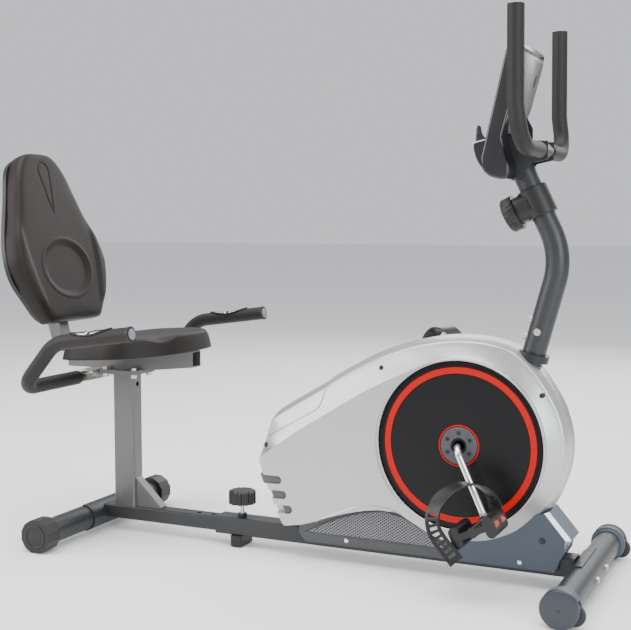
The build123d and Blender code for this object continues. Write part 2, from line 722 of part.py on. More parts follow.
def shroud_outline(shrink):
    """Side outline: a round nose over the crank and a tail to the rear, shrunk all round."""
    nose = (crank_x, crank_z)
    rim_r = shroud_rim_r - shrink

    def on_rim(angle):
        return (nose[0] + rim_r * cos(radians(angle)), nose[1] + rim_r * sin(radians(angle)))

    tail = behind([(585 - 0.5 * shrink, 427 - shrink), (629 - shrink, 366 - 0.9 * shrink),
                   (752 - shrink, 308 - 0.9 * shrink), (790 - shrink, 212),
                   (718 - shrink, 62 + 0.9 * shrink), (640, 76 + 1.05 * shrink),
                   (470, 133 + shrink), (400, 116 + shrink)])
    with BuildSketch(Plane.XY) as outline:
        with BuildLine():
            ThreePointArc(on_rim(-110), on_rim(0), on_rim(112))
            Polyline(on_rim(112), *tail, on_rim(-110))
        make_face()
        rear = sorted(outline.vertices(), key=lambda v: v.X)[:3]
        fillet(rear, 22)
        fillet(sorted(outline.vertices(), key=lambda v: abs(v.X - tail[1][0]) + abs(v.Y - tail[1][1]))[:1], 30)
        fillet(sorted(outline.vertices(), key=lambda v: abs(v.X - tail[0][0]) + abs(v.Y - tail[0][1]))[:1], 30)
        fillet(sorted(outline.vertices(), key=lambda v: abs(v.X - tail[6][0]) + abs(v.Y - tail[6][1]))[:1], 60)
    return outline.sketch


def shroud_solid(sign, inset, half):
    """Solid half of the shroud, from the middle plane out to one side face."""
    draft = half * tan(radians(shroud_taper))
    with BuildPart() as form:
        with BuildSketch(Plane.XZ):
            add(shroud_outline(inset))
        with BuildSketch(side(sign * half)):
            add(shroud_outline(inset + draft))
        loft(ruled=True)
    return form.part


disc_hole_r = disc_r + disc_gap
lip_r = 189.8
lip_out = 66.0
mast_line = Vector(front_x - mast_bend[0], 0, mast_bend[1]) - Vector(front_x - mast_foot[0], 0, mast_foot[1])
mast_dir = mast_line.normalized()
foot_point = Vector(front_x - mast_foot[0], 0, mast_foot[1])
beam_space = box_between((beam_rear_x, -beam_width / 2 - 0.2, 0),
                         (front_x, beam_width / 2 + 0.2, beam_top + 0.2))
bracket_space = box_between((front_x - 590, -bracket_out - 0.5, beam_top - 9),
                            (front_x - 256, bracket_out + 0.5, 200))
shroud_bulk = {}
for shroud_sign, shroud_name in ((-1, "shroud_right"), (1, "shroud_left")):
    with BuildPart() as shroud:
        add(shroud_solid(shroud_sign, 0, shroud_half))
        shroud_bulk[shroud_sign] = shroud.part
        add(shroud_solid(shroud_sign, shroud_wall, shroud_half - shroud_wall), mode=Mode.SUBTRACT)
        lip_y = sorted((shroud_sign * (shroud_half - shroud_wall), shroud_sign * lip_out))
        add(cross_rod(crank_x, crank_z, lip_r, *lip_y))
        add(cross_rod(crank_x, crank_z, disc_hole_r,
                      *sorted((shroud_sign * (shroud_half - 8), shroud_sign * (lip_out + 1)))),
            mode=Mode.SUBTRACT)
        add(straight_tube(foot_point - mast_dir * 80, foot_point + mast_dir * 90, mast_r + 1),
            mode=Mode.SUBTRACT)
        add(beam_space, mode=Mode.SUBTRACT)
        add(bracket_space, mode=Mode.SUBTRACT)
    save(shroud.part, shroud_name)

# Lower cover: side panels between the shroud and the beam, and the boxed leg in front of them.
trim_outline = behind([(655, 42), (655, 84), (560, 130), (463, 160), (380, 140), (150, 140), (150, 42)])
leg_outline = behind([(150, 42), (150, 130), (110, 168), (74, 170), (25, 113), (53, 80), (56, 42)])
leg_inner = behind([(150.5, 41), (150.5, 130), (110, 164), (76, 165.5), (30, 112.5), (57, 78), (60, 41)])
with BuildPart() as lower_cover:
    for trim_low, trim_high in ((-trim_out, -trim_in), (trim_in, trim_out)):
        add(slab(trim_outline, trim_low, trim_high))
    add(slab(leg_outline, -trim_out, trim_out))
    add(slab(leg_inner, -trim_in, trim_in), mode=Mode.SUBTRACT)
    add(beam_space, mode=Mode.SUBTRACT)
    for bulk in shroud_bulk.values():
        add(bulk, mode=Mode.SUBTRACT)
save(lower_cover.part, "lower_cover")

# ---- mast ------------------------------------------------------------------------------------

stub_r = mast_r - mast_wall - 0.1
stub_foot = foot_point + mast_dir * ((beam_seat - foot_point.Z) / mast_dir.Z)
cable_exit_z = 352.0
cable_r = 2.5
cable_exit = foot_point + mast_dir * ((cable_exit_z - foot_point.Z) / mast_dir.Z)
with BuildPart() as mast_stub:
    add(straight_tube(stub_foot - mast_dir * 12, foot_point + mast_dir * 110, stub_r, stub_r - 3))
    add(box_between((stub_foot.X - 60, -60, 0), (stub_foot.X + 60, 60, beam_seat)), mode=Mode.SUBTRACT)
    add(straight_tube(cable_exit, cable_exit + Vector(-60, 0, 0), cable_r + 4), mode=Mode.SUBTRACT)
save(mast_stub.part, "mast_stub")

mast_points = [(front_x - back, 0, z) for back, z in (mast_foot, mast_bend, mast_top)]
with BuildPart() as mast:
    add(bent_tube(mast_points, mast_bend_r, mast_r, mast_r - mast_wall))
save(mast.part, "mast")

collar_r = 34.0
with BuildPart() as mast_collar:
    add(straight_tube(foot_point - mast_dir * 4, foot_point + mast_dir * 12, collar_r, mast_r + 0.2))
    for bulk in shroud_bulk.values():
        add(bulk, mode=Mode.SUBTRACT)
save(mast_collar.part, "mast_collar")

# Tension housing clipped round the mast, and its knob on the rider's side.
upper_dir = (Vector(front_x - mast_top[0], 0, mast_top[1])
             - Vector(front_x - mast_bend[0], 0, mast_bend[1])).normalized()
mast_end = Vector(front_x - mast_top[0], 0, mast_top[1])
housing_mid = mast_end - upper_dir * ((mast_end.Z - 822) / upper_dir.Z)
knob_out = Vector(-upper_dir.Z, 0, upper_dir.X)
housing_half, housing_half_y = 33.0, 33.0
housing_plane = Plane(origin=housing_mid, x_dir=(0, 1, 0), z_dir=knob_out)
knob_start, knob_thick, tension_knob_r = 46.0, 28.0, 38.0
with BuildPart() as tension_housing:
    with BuildSketch(housing_plane.offset(-35)):
        RectangleRounded(2 * housing_half_y, 2 * housing_half, 10)
    extrude(amount=35 + knob_start - 1)
    add(straight_tube(housing_mid - upper_dir * 60, housing_mid + upper_dir * 60, mast_r + 0.1),
        mode=Mode.SUBTRACT)
save(tension_housing.part, "tension_housing")

with BuildPart() as tension_knob:
    with BuildSketch(housing_plane.offset(knob_start)):
        Circle(tension_knob_r)
    extrude(amount=knob_thick)
    chamfer(tension_knob.faces().sort_by(Axis.X)[0].edges(), 3)
    with BuildSketch(housing_plane.offset(knob_start)):
        with PolarLocations(tension_knob_r + 1, 14):
            Circle(4)
    extrude(amount=knob_thick, mode=Mode.SUBTRACT)
save(tension_knob.part, "tension_knob")

# Brake cable: down the middle of the mast, out of the stub and over to the magnet shoe.
shoe_top = (flywheel_x + 62, 0, flywheel_z + 112)
cable_points = [housing_mid - upper_dir * 26, Vector(*mast_points[1]), cable_exit,
                Vector(shoe_top[0] + 6, 0, cable_exit_z)]
save(bent_tube([tuple(p) for p in cable_points], [mast_bend_r, 12], cable_r), "tension_cable")

# ---- U handlebar -----------------------------------------------------------------------------

cross_back, cross_z = 108.0, 929.0
cross_x = front_x - cross_back


def front_run(sign, start_y):
    """Route of half of the U handlebar, from the crossbar up one leg."""
    return [(cross_x, sign * start_y, cross_z), (cross_x, sign * front_handle_half, cross_z),
            (cross_x - 11, sign * front_handle_half, cross_z + 84),
            (cross_x - 13, sign * front_handle_half, front_handle_top)]


front_bends = [55, 90]
whole_front_run = front_run(1, 0)[:0:-1] + front_run(-1, 0)[1:]
with BuildPart() as front_handle:
    add(bent_tube(whole_front_run, front_bends[::-1] + front_bends, handle_tube_r, handle_tube_r - 2))
save(front_handle.part, "front_handle")

front_grip_start = 40.0
with BuildPart() as front_grips:
    for sign in (-1, 1):
        add(bent_tube(front_run(sign, front_grip_start), front_bends, foam_r,
                      handle_tube_r + foam_bore_gap))
save(front_grips.part, "front_grips")

console_lean = 15.8
console_plane = Plane(origin=(front_x - 181.0, 0, 1040.5), x_dir=(0, -1, 0),
                      z_dir=(-cos(radians(console_lean)), 0, sin(radians(console_lean))))
console_height = 178.0
console_back_depth = 26.0
console_space_plane = console_plane.offset(-console_back_depth)
with BuildPart() as console_space:
    with BuildSketch(console_space_plane):
        Rectangle(2 * console_half, console_height + 90)
    extrude(amount=60)

bracket_side = 25.3
bracket_outline = behind([(188, 880), (192, 925), (184, 985), (152, 1004), (138, 978), (138, 950),
                          (92, 948), (92, 910), (128, 902), (150, 868)])
pad_height, pad_y = 44.0, -45.0
with BuildPart() as top_bracket:
    for y_low, y_high in ((-bracket_side - 3, -bracket_side), (bracket_side, bracket_side + 3)):
        add(slab(bracket_outline, y_low, y_high))
    with BuildSketch(console_plane.offset(-console_back_depth - 3)):
        with Locations((0, pad_y)):
            Rectangle(2 * bracket_side + 6, pad_height)
    extrude(amount=3)
    add(console_space.part, mode=Mode.SUBTRACT)
    add(cross_rod(cross_x, cross_z, handle_tube_r + 3.5, -bracket_side - 3, bracket_side + 3))
    add(cross_rod(cross_x, cross_z, handle_tube_r, -60, 60), mode=Mode.SUBTRACT)
save(top_bracket.part, "top_bracket")

# ---- console ---------------------------------------------------------------------------------

with BuildPart() as console_back:
    with BuildSketch(console_plane.offset(-console_back_depth)):
        RectangleRounded(2 * console_half - 8, console_height - 6, 26)
    extrude(amount=20)
    with BuildSketch(console_plane.offset(-console_back_depth + 3)):
        RectangleRounded(2 * console_half - 14, console_height - 12, 23)
    extrude(amount=20, mode=Mode.SUBTRACT)
save(console_back.part, "console_back")

display_width, display_height = 116.0, 62.0
button_r, button_gap = 9.0, 0.4
button_row = -48.0
button_ys = (-48.0, 0.0, 48.0)
with BuildPart() as console_face:
    with BuildSketch(console_plane.offset(-6)):
        RectangleRounded(2 * console_half, console_height, 28)
    extrude(amount=12)
    fillet(console_face.faces().sort_by(Axis.X)[0].edges(), 4)
    with BuildSketch(console_plane.offset(-3)):
        with Locations((0, 26)):
            RectangleRounded(display_width + 0.4, display_height + 0.4, 6)
    extrude(amount=20, mode=Mode.SUBTRACT)
    with BuildSketch(console_plane.offset(-3)):
        with Locations(*[(y, button_row) for y in button_ys]):
            Circle(button_r + button_gap)
    extrude(amount=20, mode=Mode.SUBTRACT)
    # Reading shelf along the lower edge, with a raised lip.
    with BuildSketch(console_plane.offset(-6)):
        with Locations((0, -console_height / 2 - 20)):
            RectangleRounded(2 * console_half - 40, 44, 8)
    extrude(amount=6)
    with BuildSketch(console_plane.offset(0)):
        with Locations((0, -console_height / 2 - 5)):
            Rectangle(2 * console_half - 44, 5)
    extrude(amount=34)
save(console_face.part, "console_face")

with BuildPart() as console_display:
    with BuildSketch(console_plane.offset(-3)):
        with Locations((0, 26)):
            RectangleRounded(display_width, display_height, 6)
    extrude(amount=7.5)
save(console_display.part, "console_display")

button_travel_room = 2.5
for button_y, button_name in zip(button_ys, ("button_left", "button_middle", "button_right")):
    with BuildPart() as button:
        with BuildSketch(console_plane.offset(-3 + button_travel_room)):
            with Locations((button_y, button_row)):
                Circle(button_r)
        extrude(amount=3 - button_travel_room + 8)
    save(button.part, button_name)

# ---- fasteners on the main frame -------------------------------------------------------------

with BuildPart() as frame_bolts:
    for bolt_y in (-48, 48):
        add(straight_tube((front_x + stabiliser_r - 1.5, bolt_y, foot_r),
                          (front_x + stabiliser_r + 5, bolt_y, foot_r), 7))
    for height, turn in ((60, -1), (60, 1), (40, 0), (78, 0)):
        at = foot_point + mast_dir * height
        if turn:
            add(straight_tube((at.X, turn * (mast_r - 1), at.Z), (at.X, turn * (mast_r + 6), at.Z), 7.5))
        else:
            add(straight_tube(tuple(at - mast_dir.cross(Vector(0, 1, 0)) * -(mast_r - 1)),
                              tuple(at - mast_dir.cross(Vector(0, 1, 0)) * -(mast_r + 6)), 7.5))
    add(front_handle.part, mode=Mode.SUBTRACT)
    add(mast.part, mode=Mode.SUBTRACT)
    add(cross_rod(front_x, foot_r, stabiliser_r, -60, 60), mode=Mode.SUBTRACT)
save(frame_bolts.part, "frame_bolts")
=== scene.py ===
"""Looks of the recumbent exercise bike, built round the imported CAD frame."""

from math import cos, pi, radians, sin, sqrt, tan

import bmesh
import bpy
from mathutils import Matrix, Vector


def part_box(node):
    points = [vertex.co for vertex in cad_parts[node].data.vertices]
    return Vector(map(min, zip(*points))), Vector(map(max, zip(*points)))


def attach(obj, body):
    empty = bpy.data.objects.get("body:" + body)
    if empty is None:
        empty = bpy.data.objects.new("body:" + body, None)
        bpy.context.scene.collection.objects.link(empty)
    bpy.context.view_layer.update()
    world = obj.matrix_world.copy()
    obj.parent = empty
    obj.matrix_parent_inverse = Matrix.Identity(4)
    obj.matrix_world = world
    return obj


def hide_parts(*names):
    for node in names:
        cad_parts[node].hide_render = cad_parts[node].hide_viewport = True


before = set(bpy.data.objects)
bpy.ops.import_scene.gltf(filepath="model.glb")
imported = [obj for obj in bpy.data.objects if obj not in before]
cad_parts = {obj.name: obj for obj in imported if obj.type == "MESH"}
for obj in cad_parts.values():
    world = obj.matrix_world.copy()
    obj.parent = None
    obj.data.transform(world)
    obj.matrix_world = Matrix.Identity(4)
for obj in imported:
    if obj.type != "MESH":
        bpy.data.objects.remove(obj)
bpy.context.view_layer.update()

# ---- Floor frame -----------------------------------------------------------------------------
# Welded steel tube: the main beam, the seat's sliding beam, the two stabilisers, the post and the
# mast. All of it is blasted and powder coated in a dark metallic grey, which lies thin and even
# over the tube with the faint orange peel that such a coat has.


def new_material(name):
    """A node material: returns it with its node tree's shader and a maker of nodes."""
    material = bpy.data.materials.new(name)
    material.use_nodes = True
    tree = material.node_tree
    shader = tree.nodes["Principled BSDF"]

    def add_node(kind, settings=None, **inputs):
        node = tree.nodes.new(kind)
        for key, value in (settings or {}).items():
            setattr(node, key, value)
        for key, value in inputs.items():
            socket = node.inputs[key.replace("_", " ")]
            if isinstance(value, bpy.types.NodeSocket):
                tree.links.new(value, socket)
            else:
                socket.default_value = value
        return node

    return material, shader, add_node, tree


def join(tree, source, target):
    tree.links.new(source, target)


def coated(name, colour, metallic=0.0, rough=(0.4, 0.5), drift=0.12, drift_scale=9.0,
           grain_scale=900.0, grain_depth=0.00006, coat=0.0, grain_tint=0.0, specular=0.5):
    """Even finish: a slow drift of tone and gloss over it and a fine grain in its surface."""
    material, shader, add_node, tree = new_material(name)
    place = add_node("ShaderNodeTexCoord")
    drift_noise = add_node("ShaderNodeTexNoise", Vector=place.outputs["Object"], Scale=drift_scale,
                           Detail=5.0, Roughness=0.6)
    grain = add_node("ShaderNodeTexNoise", Vector=place.outputs["Object"], Scale=grain_scale,
                     Detail=2.0, Roughness=0.5)
    tone = add_node("ShaderNodeMapRange", Value=drift_noise.outputs["Fac"],
                    To_Min=1.0 - drift, To_Max=1.0 + drift)
    fleck = add_node("ShaderNodeMapRange", Value=grain.outputs["Fac"],
                     To_Min=1.0 - grain_tint, To_Max=1.0 + grain_tint)
    level = add_node("ShaderNodeMath", {"operation": "MULTIPLY"})
    join(tree, tone.outputs[0], level.inputs[0])
    join(tree, fleck.outputs[0], level.inputs[1])
    shade = add_node("ShaderNodeVectorMath", {"operation": "SCALE"})
    shade.inputs[0].default_value = colour[:3]
    join(tree, level.outputs[0], shade.inputs["Scale"])
    join(tree, shade.outputs[0], shader.inputs["Base Color"])
    gloss = add_node("ShaderNodeMapRange", Value=drift_noise.outputs["Fac"],
                     To_Min=rough[0], To_Max=rough[1])
    join(tree, gloss.outputs[0], shader.inputs["Roughness"])
    bump = add_node("ShaderNodeBump", Height=grain.outputs["Fac"], Distance=grain_depth, Strength=1.0)
    join(tree, bump.outputs[0], shader.inputs["Normal"])
    shader.inputs["Metallic"].default_value = metallic
    shader.inputs["Coat Weight"].default_value = coat
    shader.inputs["Coat Roughness"].default_value = 0.15
    shader.inputs["Specular IOR Level"].default_value = specular
    return material


def dress(material, *nodes):
    """Give CAD nodes a finish in place of their plain one."""
    for node in nodes:
        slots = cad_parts[node].data.materials
        slots.clear()
        slots.append(material)


frame_coat = coated("frame_powder_coat", (0.036, 0.037, 0.039), metallic=0.5, rough=(0.34, 0.46),
                    grain_scale=1400, grain_tint=0.18)
dress(frame_coat, "main_beam", "rear_beam", "front_stabiliser", "rear_stabiliser", "drive_bracket",
      "mast_stub", "mast", "front_handle", "side_handle", "top_bracket")
post_coat = coated("post_powder_coat", (0.125, 0.124, 0.122), metallic=0.6, rough=(0.3, 0.42),
                   grain_scale=1400, grain_tint=0.15)
dress(post_coat, "seat_post", "seat_beam", "backrest_bar")

front_low, front_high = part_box("front_stabiliser")
front_x = (front_low.x + front_high.x) / 2
disc_low, disc_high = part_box("disc_right")
crank_x, crank_z = (disc_low.x + disc_high.x) / 2, (disc_low.z + disc_high.z) / 2


def behind(back, up):
    """A point of the side view, in metres, from millimetres behind the front axis and above the floor."""
    return front_x - back / 1000, up / 1000


def mid(back, up):
    """A point in the bike's middle plane, from the same two measures."""
    x, z = behind(back, up)
    return Vector((x, 0, z))


def piece(name, form, material, body, *replaced, slot=None, crease=35, backs=True):
    """Finish a bmesh into a smooth-shaded object that rides on a body."""
    if backs:
        bmesh.ops.recalc_face_normals(form, faces=form.faces)
    mesh = bpy.data.meshes.new(name)
    form.to_mesh(mesh)
    form.free()
    mesh.polygons.foreach_set("use_smooth", [True] * len(mesh.polygons))
    mesh.set_sharp_from_angle(angle=radians(crease))
    mesh.materials.append(material)
    result = bpy.data.objects.new(name, mesh)
    bpy.context.scene.collection.objects.link(result)
    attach(result, body)
    if replaced:
        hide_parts(*replaced)
    return result


def turned(form, profile, centre, axis, steps):
    """Turn a profile of (radius, distance along) pairs round an axis through centre."""
    axis = Vector(axis).normalized()
    out = axis.orthogonal().normalized()
    points = [form.verts.new(Vector(centre) + out * r + axis * d) for r, d in profile]
    edges = [form.edges.new(pair) for pair in zip(points, points[1:])]
    bmesh.ops.spin(form, geom=points + edges, cent=centre, axis=axis, angle=2 * pi, steps=steps,
                   use_merge=True, use_duplicate=False)
    bmesh.ops.remove_doubles(form, verts=form.verts, dist=1e-6)
    return form


def between(form, rows, closed=True):
    """Faces between each row of vertices and the next."""
    for one, two in zip(rows, rows[1:]):
        for k in range(len(one) if closed else len(one) - 1):
            j = (k + 1) % len(one)
            form.faces.new((one[k], one[j], two[j], two[k]))


def swept(form, path, section, up):
    """Sweep a closed section of (across, up) pairs along a path of points."""
    rings = []
    for index, point in enumerate(path):
        before, after = path[max(index - 1, 0)], path[min(index + 1, len(path) - 1)]
        along = (Vector(after) - Vector(before)).normalized()
        across = along.cross(Vector(up)).normalized()
        top = across.cross(along).normalized()
        rings.append([form.verts.new(Vector(point) + across * a + top * b) for a, b in section])
    between(form, rings)
    form.faces.new(list(reversed(rings[0])))
    form.faces.new(rings[-1])


def through(points, count, closed=False):
    """Catmull-Rom curve through points, as count evenly spaced points."""
    points = [Vector(p) for p in points]
    last = len(points)
    fine = []
    spans = last if closed else last - 1
    for k in range(spans):
        p0 = points[(k - 1) % last] if closed or k > 0 else points[0]
        p1, p2 = points[k], points[(k + 1) % last]
        p3 = points[(k + 2) % last] if closed or k + 2 < last else points[-1]
        for step in range(24):
            t = step / 24
            fine.append(0.5 * (2 * p1 + (p2 - p0) * t + (2 * p0 - 5 * p1 + 4 * p2 - p3) * t * t
                               + (3 * p1 - p0 - 3 * p2 + p3) * t ** 3))
    if not closed:
        fine.append(points[-1])
    else:
        fine.append(points[0])
    lengths = [0.0]
    for one, two in zip(fine, fine[1:]):
        lengths.append(lengths[-1] + (two - one).length)
    parts = count if closed else count - 1
    result = []
    k = 0
    for step in range(count):
        want = lengths[-1] * step / parts
        while k < len(fine) - 2 and lengths[k + 1] < want:
            k += 1
        span = lengths[k + 1] - lengths[k]
        result.append(fine[k].lerp(fine[k + 1], (want - lengths[k]) / span if span else 0.0))
    return result


# ---- Shroud ------------------------------------------------------------------------------------
# Two moulded half shells, painted silver, that screw together over the flywheel and belt. Each
# side has a flat panel, a bevelled band above it that runs on round the crank disc, a
# raised lip round the disc and three vents at the rear.

silver_paint = coated("silver_paint", (0.47, 0.465, 0.46), metallic=0.75, rough=(0.3, 0.38), drift=0.06,
                      drift_scale=5, grain_scale=2600, grain_depth=0.00001, coat=0.35, grain_tint=0.2)
# Near black: the hatch seam's own dark line, and painted shade wherever it lines a hole, gap or hollow (screw
# holes, the disc gap, behind the lattice, the leg hole, the cap cores, the console slots).
seam_black_and_painted_shade = coated("seam_black_and_painted_shade", (0.012, 0.012, 0.013), rough=(0.5, 0.6))
vent_olive = coated("vent_plastic", (0.075, 0.08, 0.065), rough=(0.4, 0.5))
lip_r = 0.1898
shell_floor = 0.081  # the rim stays above this, clear of the beams
panel_y, lip_y, edge_y = 0.061, 0.066, 0.0435

crease_points = [behind(752, 232), behind(660, 296), behind(571, 352), behind(474, 410),
                 (crank_x + lip_r * cos(radians(119)), crank_z + lip_r * sin(radians(119)))]
upper_edge = [behind(*p) for p in [
    (757, 229), (745, 258), (729, 308), (725.5, 317), (719, 325), (700, 338), (648, 369), (600, 397.5),
    (588, 404.5), (581, 411), (570, 418), (546, 432),
    (480, 468), (407, 497), (340, 514), (277, 522), (211, 519), (160, 505), (124, 477), (93, 440),
    (60, 382), (45, 320), (52, 255), (84, 181), (134, 125), (187, 97), (228, 87), (270, 84)]]
rear_edge = [behind(*p) for p in [(752, 232), (735, 181), (718, 140), (692, 84), (681, 78)]]
bottom_edge = [behind(*p) for p in [
    (681, 78), (640, 86), (605, 98), (563, 116), (523, 133), (490, 143), (463, 147), (432, 145), (403, 136),
    (380, 124), (357, 112), (335, 101), (305, 90), (270, 84)]]


def flat(points, y):
    return [Vector((x, y, z)) for x, z in points]


def arc_of_lip(start, end, count):
    return [Vector((crank_x + lip_r * cos(radians(start + (end - start) * k / (count - 1))), 0,
                    crank_z + lip_r * sin(radians(start + (end - start) * k / (count - 1)))))
            for k in range(count)]


def strip(form, inner, outer, rows, side):
    """Faces between two curves; rows are (share of the way across, distance out from the middle)."""
    lines = []
    for share, out in rows:
        lines.append([form.verts.new((a.x + (b.x - a.x) * share, side * out, a.z + (b.z - a.z) * share))
                      for a, b in zip(inner, outer)])
    between(form, lines, closed=False)


def smooth_again(target, crease):
    """Shade a cut mesh smooth, with its edges past the crease angle kept sharp."""
    target.data.polygons.foreach_set("use_smooth", [True] * len(target.data.polygons))
    target.data.set_sharp_from_angle(angle=radians(crease))


def cut_with(target, cutter_form, name):
    """Subtract a closed form from an object's mesh."""
    cutter_mesh = bpy.data.meshes.new(name)
    bmesh.ops.recalc_face_normals(cutter_form, faces=cutter_form.faces)
    cutter_form.to_mesh(cutter_mesh)
    cutter_form.free()
    cutter = bpy.data.objects.new(name, cutter_mesh)
    bpy.context.scene.collection.objects.link(cutter)
    modifier = target.modifiers.new("cut", "BOOLEAN")
    modifier.object = cutter
    modifier.solver = "EXACT"
    depsgraph = bpy.context.evaluated_depsgraph_get()
    result = bpy.data.meshes.new_from_object(target.evaluated_get(depsgraph))
    target.modifiers.clear()
    target.data = result
    bpy.data.objects.remove(cutter)


vents = [(0.716, 0.183), (0.703, 0.149), (0.688, 0.116)]
screw_places = [(739, 261), (451, 458), (91, 418)]
for side, word in ((-1, "right"), (1, "left")):
    form = bmesh.new()
    crease = through([Vector((x, 0, z)) for x, z in crease_points], 70)
    band_inner = crease[:-1] + arc_of_lip(119, -91, 150)
    band_outer = through(flat(upper_edge, 0), len(band_inner))
    drop = panel_y - edge_y
    band_rows = [(0, panel_y), (0.03, panel_y - 0.03 * drop), (0.25, panel_y - 0.25 * drop),
                 (0.5, panel_y - 0.5 * drop), (0.75, panel_y - 0.76 * drop), (0.93, panel_y - 0.95 * drop),
                 (1, edge_y)]
    strip(form, band_inner, band_outer, band_rows, side)
    outer_back = (through([Vector((x, 0, z)) for x, z in bottom_edge], 60)[::-1][:-1]
                  + through([Vector((x, 0, z)) for x, z in rear_edge], 30)[::-1][:-1] + crease)
    lip_back = arc_of_lip(269, 119, len(outer_back))
    even = sorted({0, 0.02, 0.98, 1} | {k / 14 for k in range(1, 14)})
    strip(form, lip_back, outer_back, [(s, panel_y) for s in even], side)
    # Rim: out and inwards from the whole outer edge to the middle plane.
    outline = [Vector((v.x, 0, v.z)) for v in band_outer]
    outline += [v for v in through([Vector((x, 0, z)) for x, z in bottom_edge], 60)[::-1]]
    outline += [v for v in through([Vector((x, 0, z)) for x, z in rear_edge], 30)[::-1][1:-1]]
    count = len(outline)
    inner_line = [edge_y] * len(band_outer) + [panel_y] * (count - len(band_outer))
    normals = []
    for k in range(count):
        along = outline[(k + 3) % count] - outline[k - 3]
        normals.append(Vector((-along.z, 0, along.x)).normalized())
    rings = []
    for grow, keep in ((0, 1.0), (0.0012, 0.975), (0.0025, 0.93), (0.0085, 0.5), (0.014, 0.004)):
        rings.append([form.verts.new((p.x + n.x * grow, side * y * keep,
                                      max(p.z + n.z * grow, min(p.z, shell_floor))))
                      for p, n, y in zip(outline, normals, inner_line)])
    between(form, rings)
    # Raised lip round the disc, as turned rows on the panel's inner edge.
    lip_rows = [(lip_r, panel_y), (lip_r, lip_y - 0.0012), (lip_r - 0.0012, lip_y), (lip_r - 0.0044, lip_y),
                (lip_r - 0.0052, lip_y - 0.001), (lip_r - 0.0052, lip_y - 0.012)]
    steps = 240
    ringed = [[form.verts.new((crank_x + r * cos(2 * pi * k / steps), side * y,
                               crank_z + r * sin(2 * pi * k / steps))) for k in range(steps)]
              for r, y in lip_rows]
    between(form, ringed)
    bmesh.ops.remove_doubles(form, verts=form.verts, dist=0.00012)
    shell = piece(f"shroud_shell_{word}", form, silver_paint, "main_frame", f"shroud_{word}",
                  slot="silver_plastic", crease=28)
    cutters = bmesh.new()
    for back, up in vents:
        ring = []
        for k in range(25):
            angle = radians(-90 + 180 * k / 24)
            ring.append((front_x - back + 0.0225 - 0.0095 + 0.0095 * cos(angle), up + 0.0095 * sin(angle)))
        ring += [(front_x - back - 0.07, up + 0.0095), (front_x - back - 0.07, up - 0.0095)]
        low = [cutters.verts.new((x, side * 0.044, z)) for x, z in ring]
        high = [cutters.verts.new((x, side * 0.08, z)) for x, z in ring]
        cutters.faces.new(low)
        cutters.faces.new(high)
        between(cutters, [low, high])
    for back, up in screw_places:
        x, z = behind(back, up)
        turned(cutters, [(0, 0.046), (0.0056, 0.046), (0.0056, 0.08), (0, 0.08)], (x, 0, z), (0, side, 0), 24)
    cut_with(shell, cutters, f"shroud_cutter_{word}")
    solid = shell.modifiers.new("wall", "SOLIDIFY")
    solid.thickness = 0.0025
    solid.offset = -1
    smooth_again(shell, 28)
    form = bmesh.new()
    for back, up in vents:
        x = front_x - back
        rear = x - 0.0165 - (up - 0.149) * 0.42
        points = [(rear - 0.0045, up + 0.0115), (x + 0.0245, up + 0.0115), (x + 0.0245, up - 0.0115),
                  (rear + 0.0045, up - 0.0115)]
        ends = [[form.verts.new((px, side * y, pz)) for px, pz in points] for y in (0.038, 0.0555)]
        form.faces.new(ends[1])
        between(form, ends)
    bmesh.ops.bevel(form, geom=form.edges[:], offset=0.0015, segments=2, profile=0.5, affect="EDGES",
                    material=-1)
    piece(f"vent_backs_{word}", form, vent_olive, "main_frame", slot="dark_plastic")
    # Screws deep in their holes, drawn near black: painted shade of the holes.
    form = bmesh.new()
    for back, up in screw_places:
        x, z = behind(back, up)
        turned(form, [(0, 0.0485), (0.0022, 0.0485), (0.0026, 0.0495), (0.0045, 0.0495), (0.0052, 0.0482),
                      (0.0052, 0.0462), (0.0062, 0.0462), (0.0062, 0.042)], (x, 0, z), (0, side, 0), 24)
    piece(f"shroud_screws_{word}", form, seam_black_and_painted_shade, "main_frame", slot="black_plastic")
    seam = through([mid(733, 282), mid(660, 324),
                    mid(609, 353), mid(596, 372),
                    mid(588, 402)], 40)
    form = bmesh.new()
    seam_path = []
    for k, p in enumerate(seam):
        nearest = min(range(len(band_inner)), key=lambda j: (band_inner[j] - p).length
                      + (band_outer[j] - p).length)
        span = (band_outer[nearest] - band_inner[nearest]).length
        share = (p - band_inner[nearest]).length / span
        seam_path.append(Vector((p.x, side * (panel_y - min(share, 1.0) * drop - 0.0001), p.z)))
    swept(form, seam_path, [(-0.0006, -0.0004), (0.0006, -0.0004), (0.0006, 0.0004), (-0.0006, 0.0004)],
          (0, side, 0))
    piece(f"hatch_seam_{word}", form, seam_black_and_painted_shade, "main_frame", slot="silver_plastic")

# ---- Crank disc --------------------------------------------------------------------------------
# A black moulded disc turns with the cranks inside the shroud's lip. A vivid red ring is let into
# it near its edge and a smaller one round the hub plate, which six screws hold.

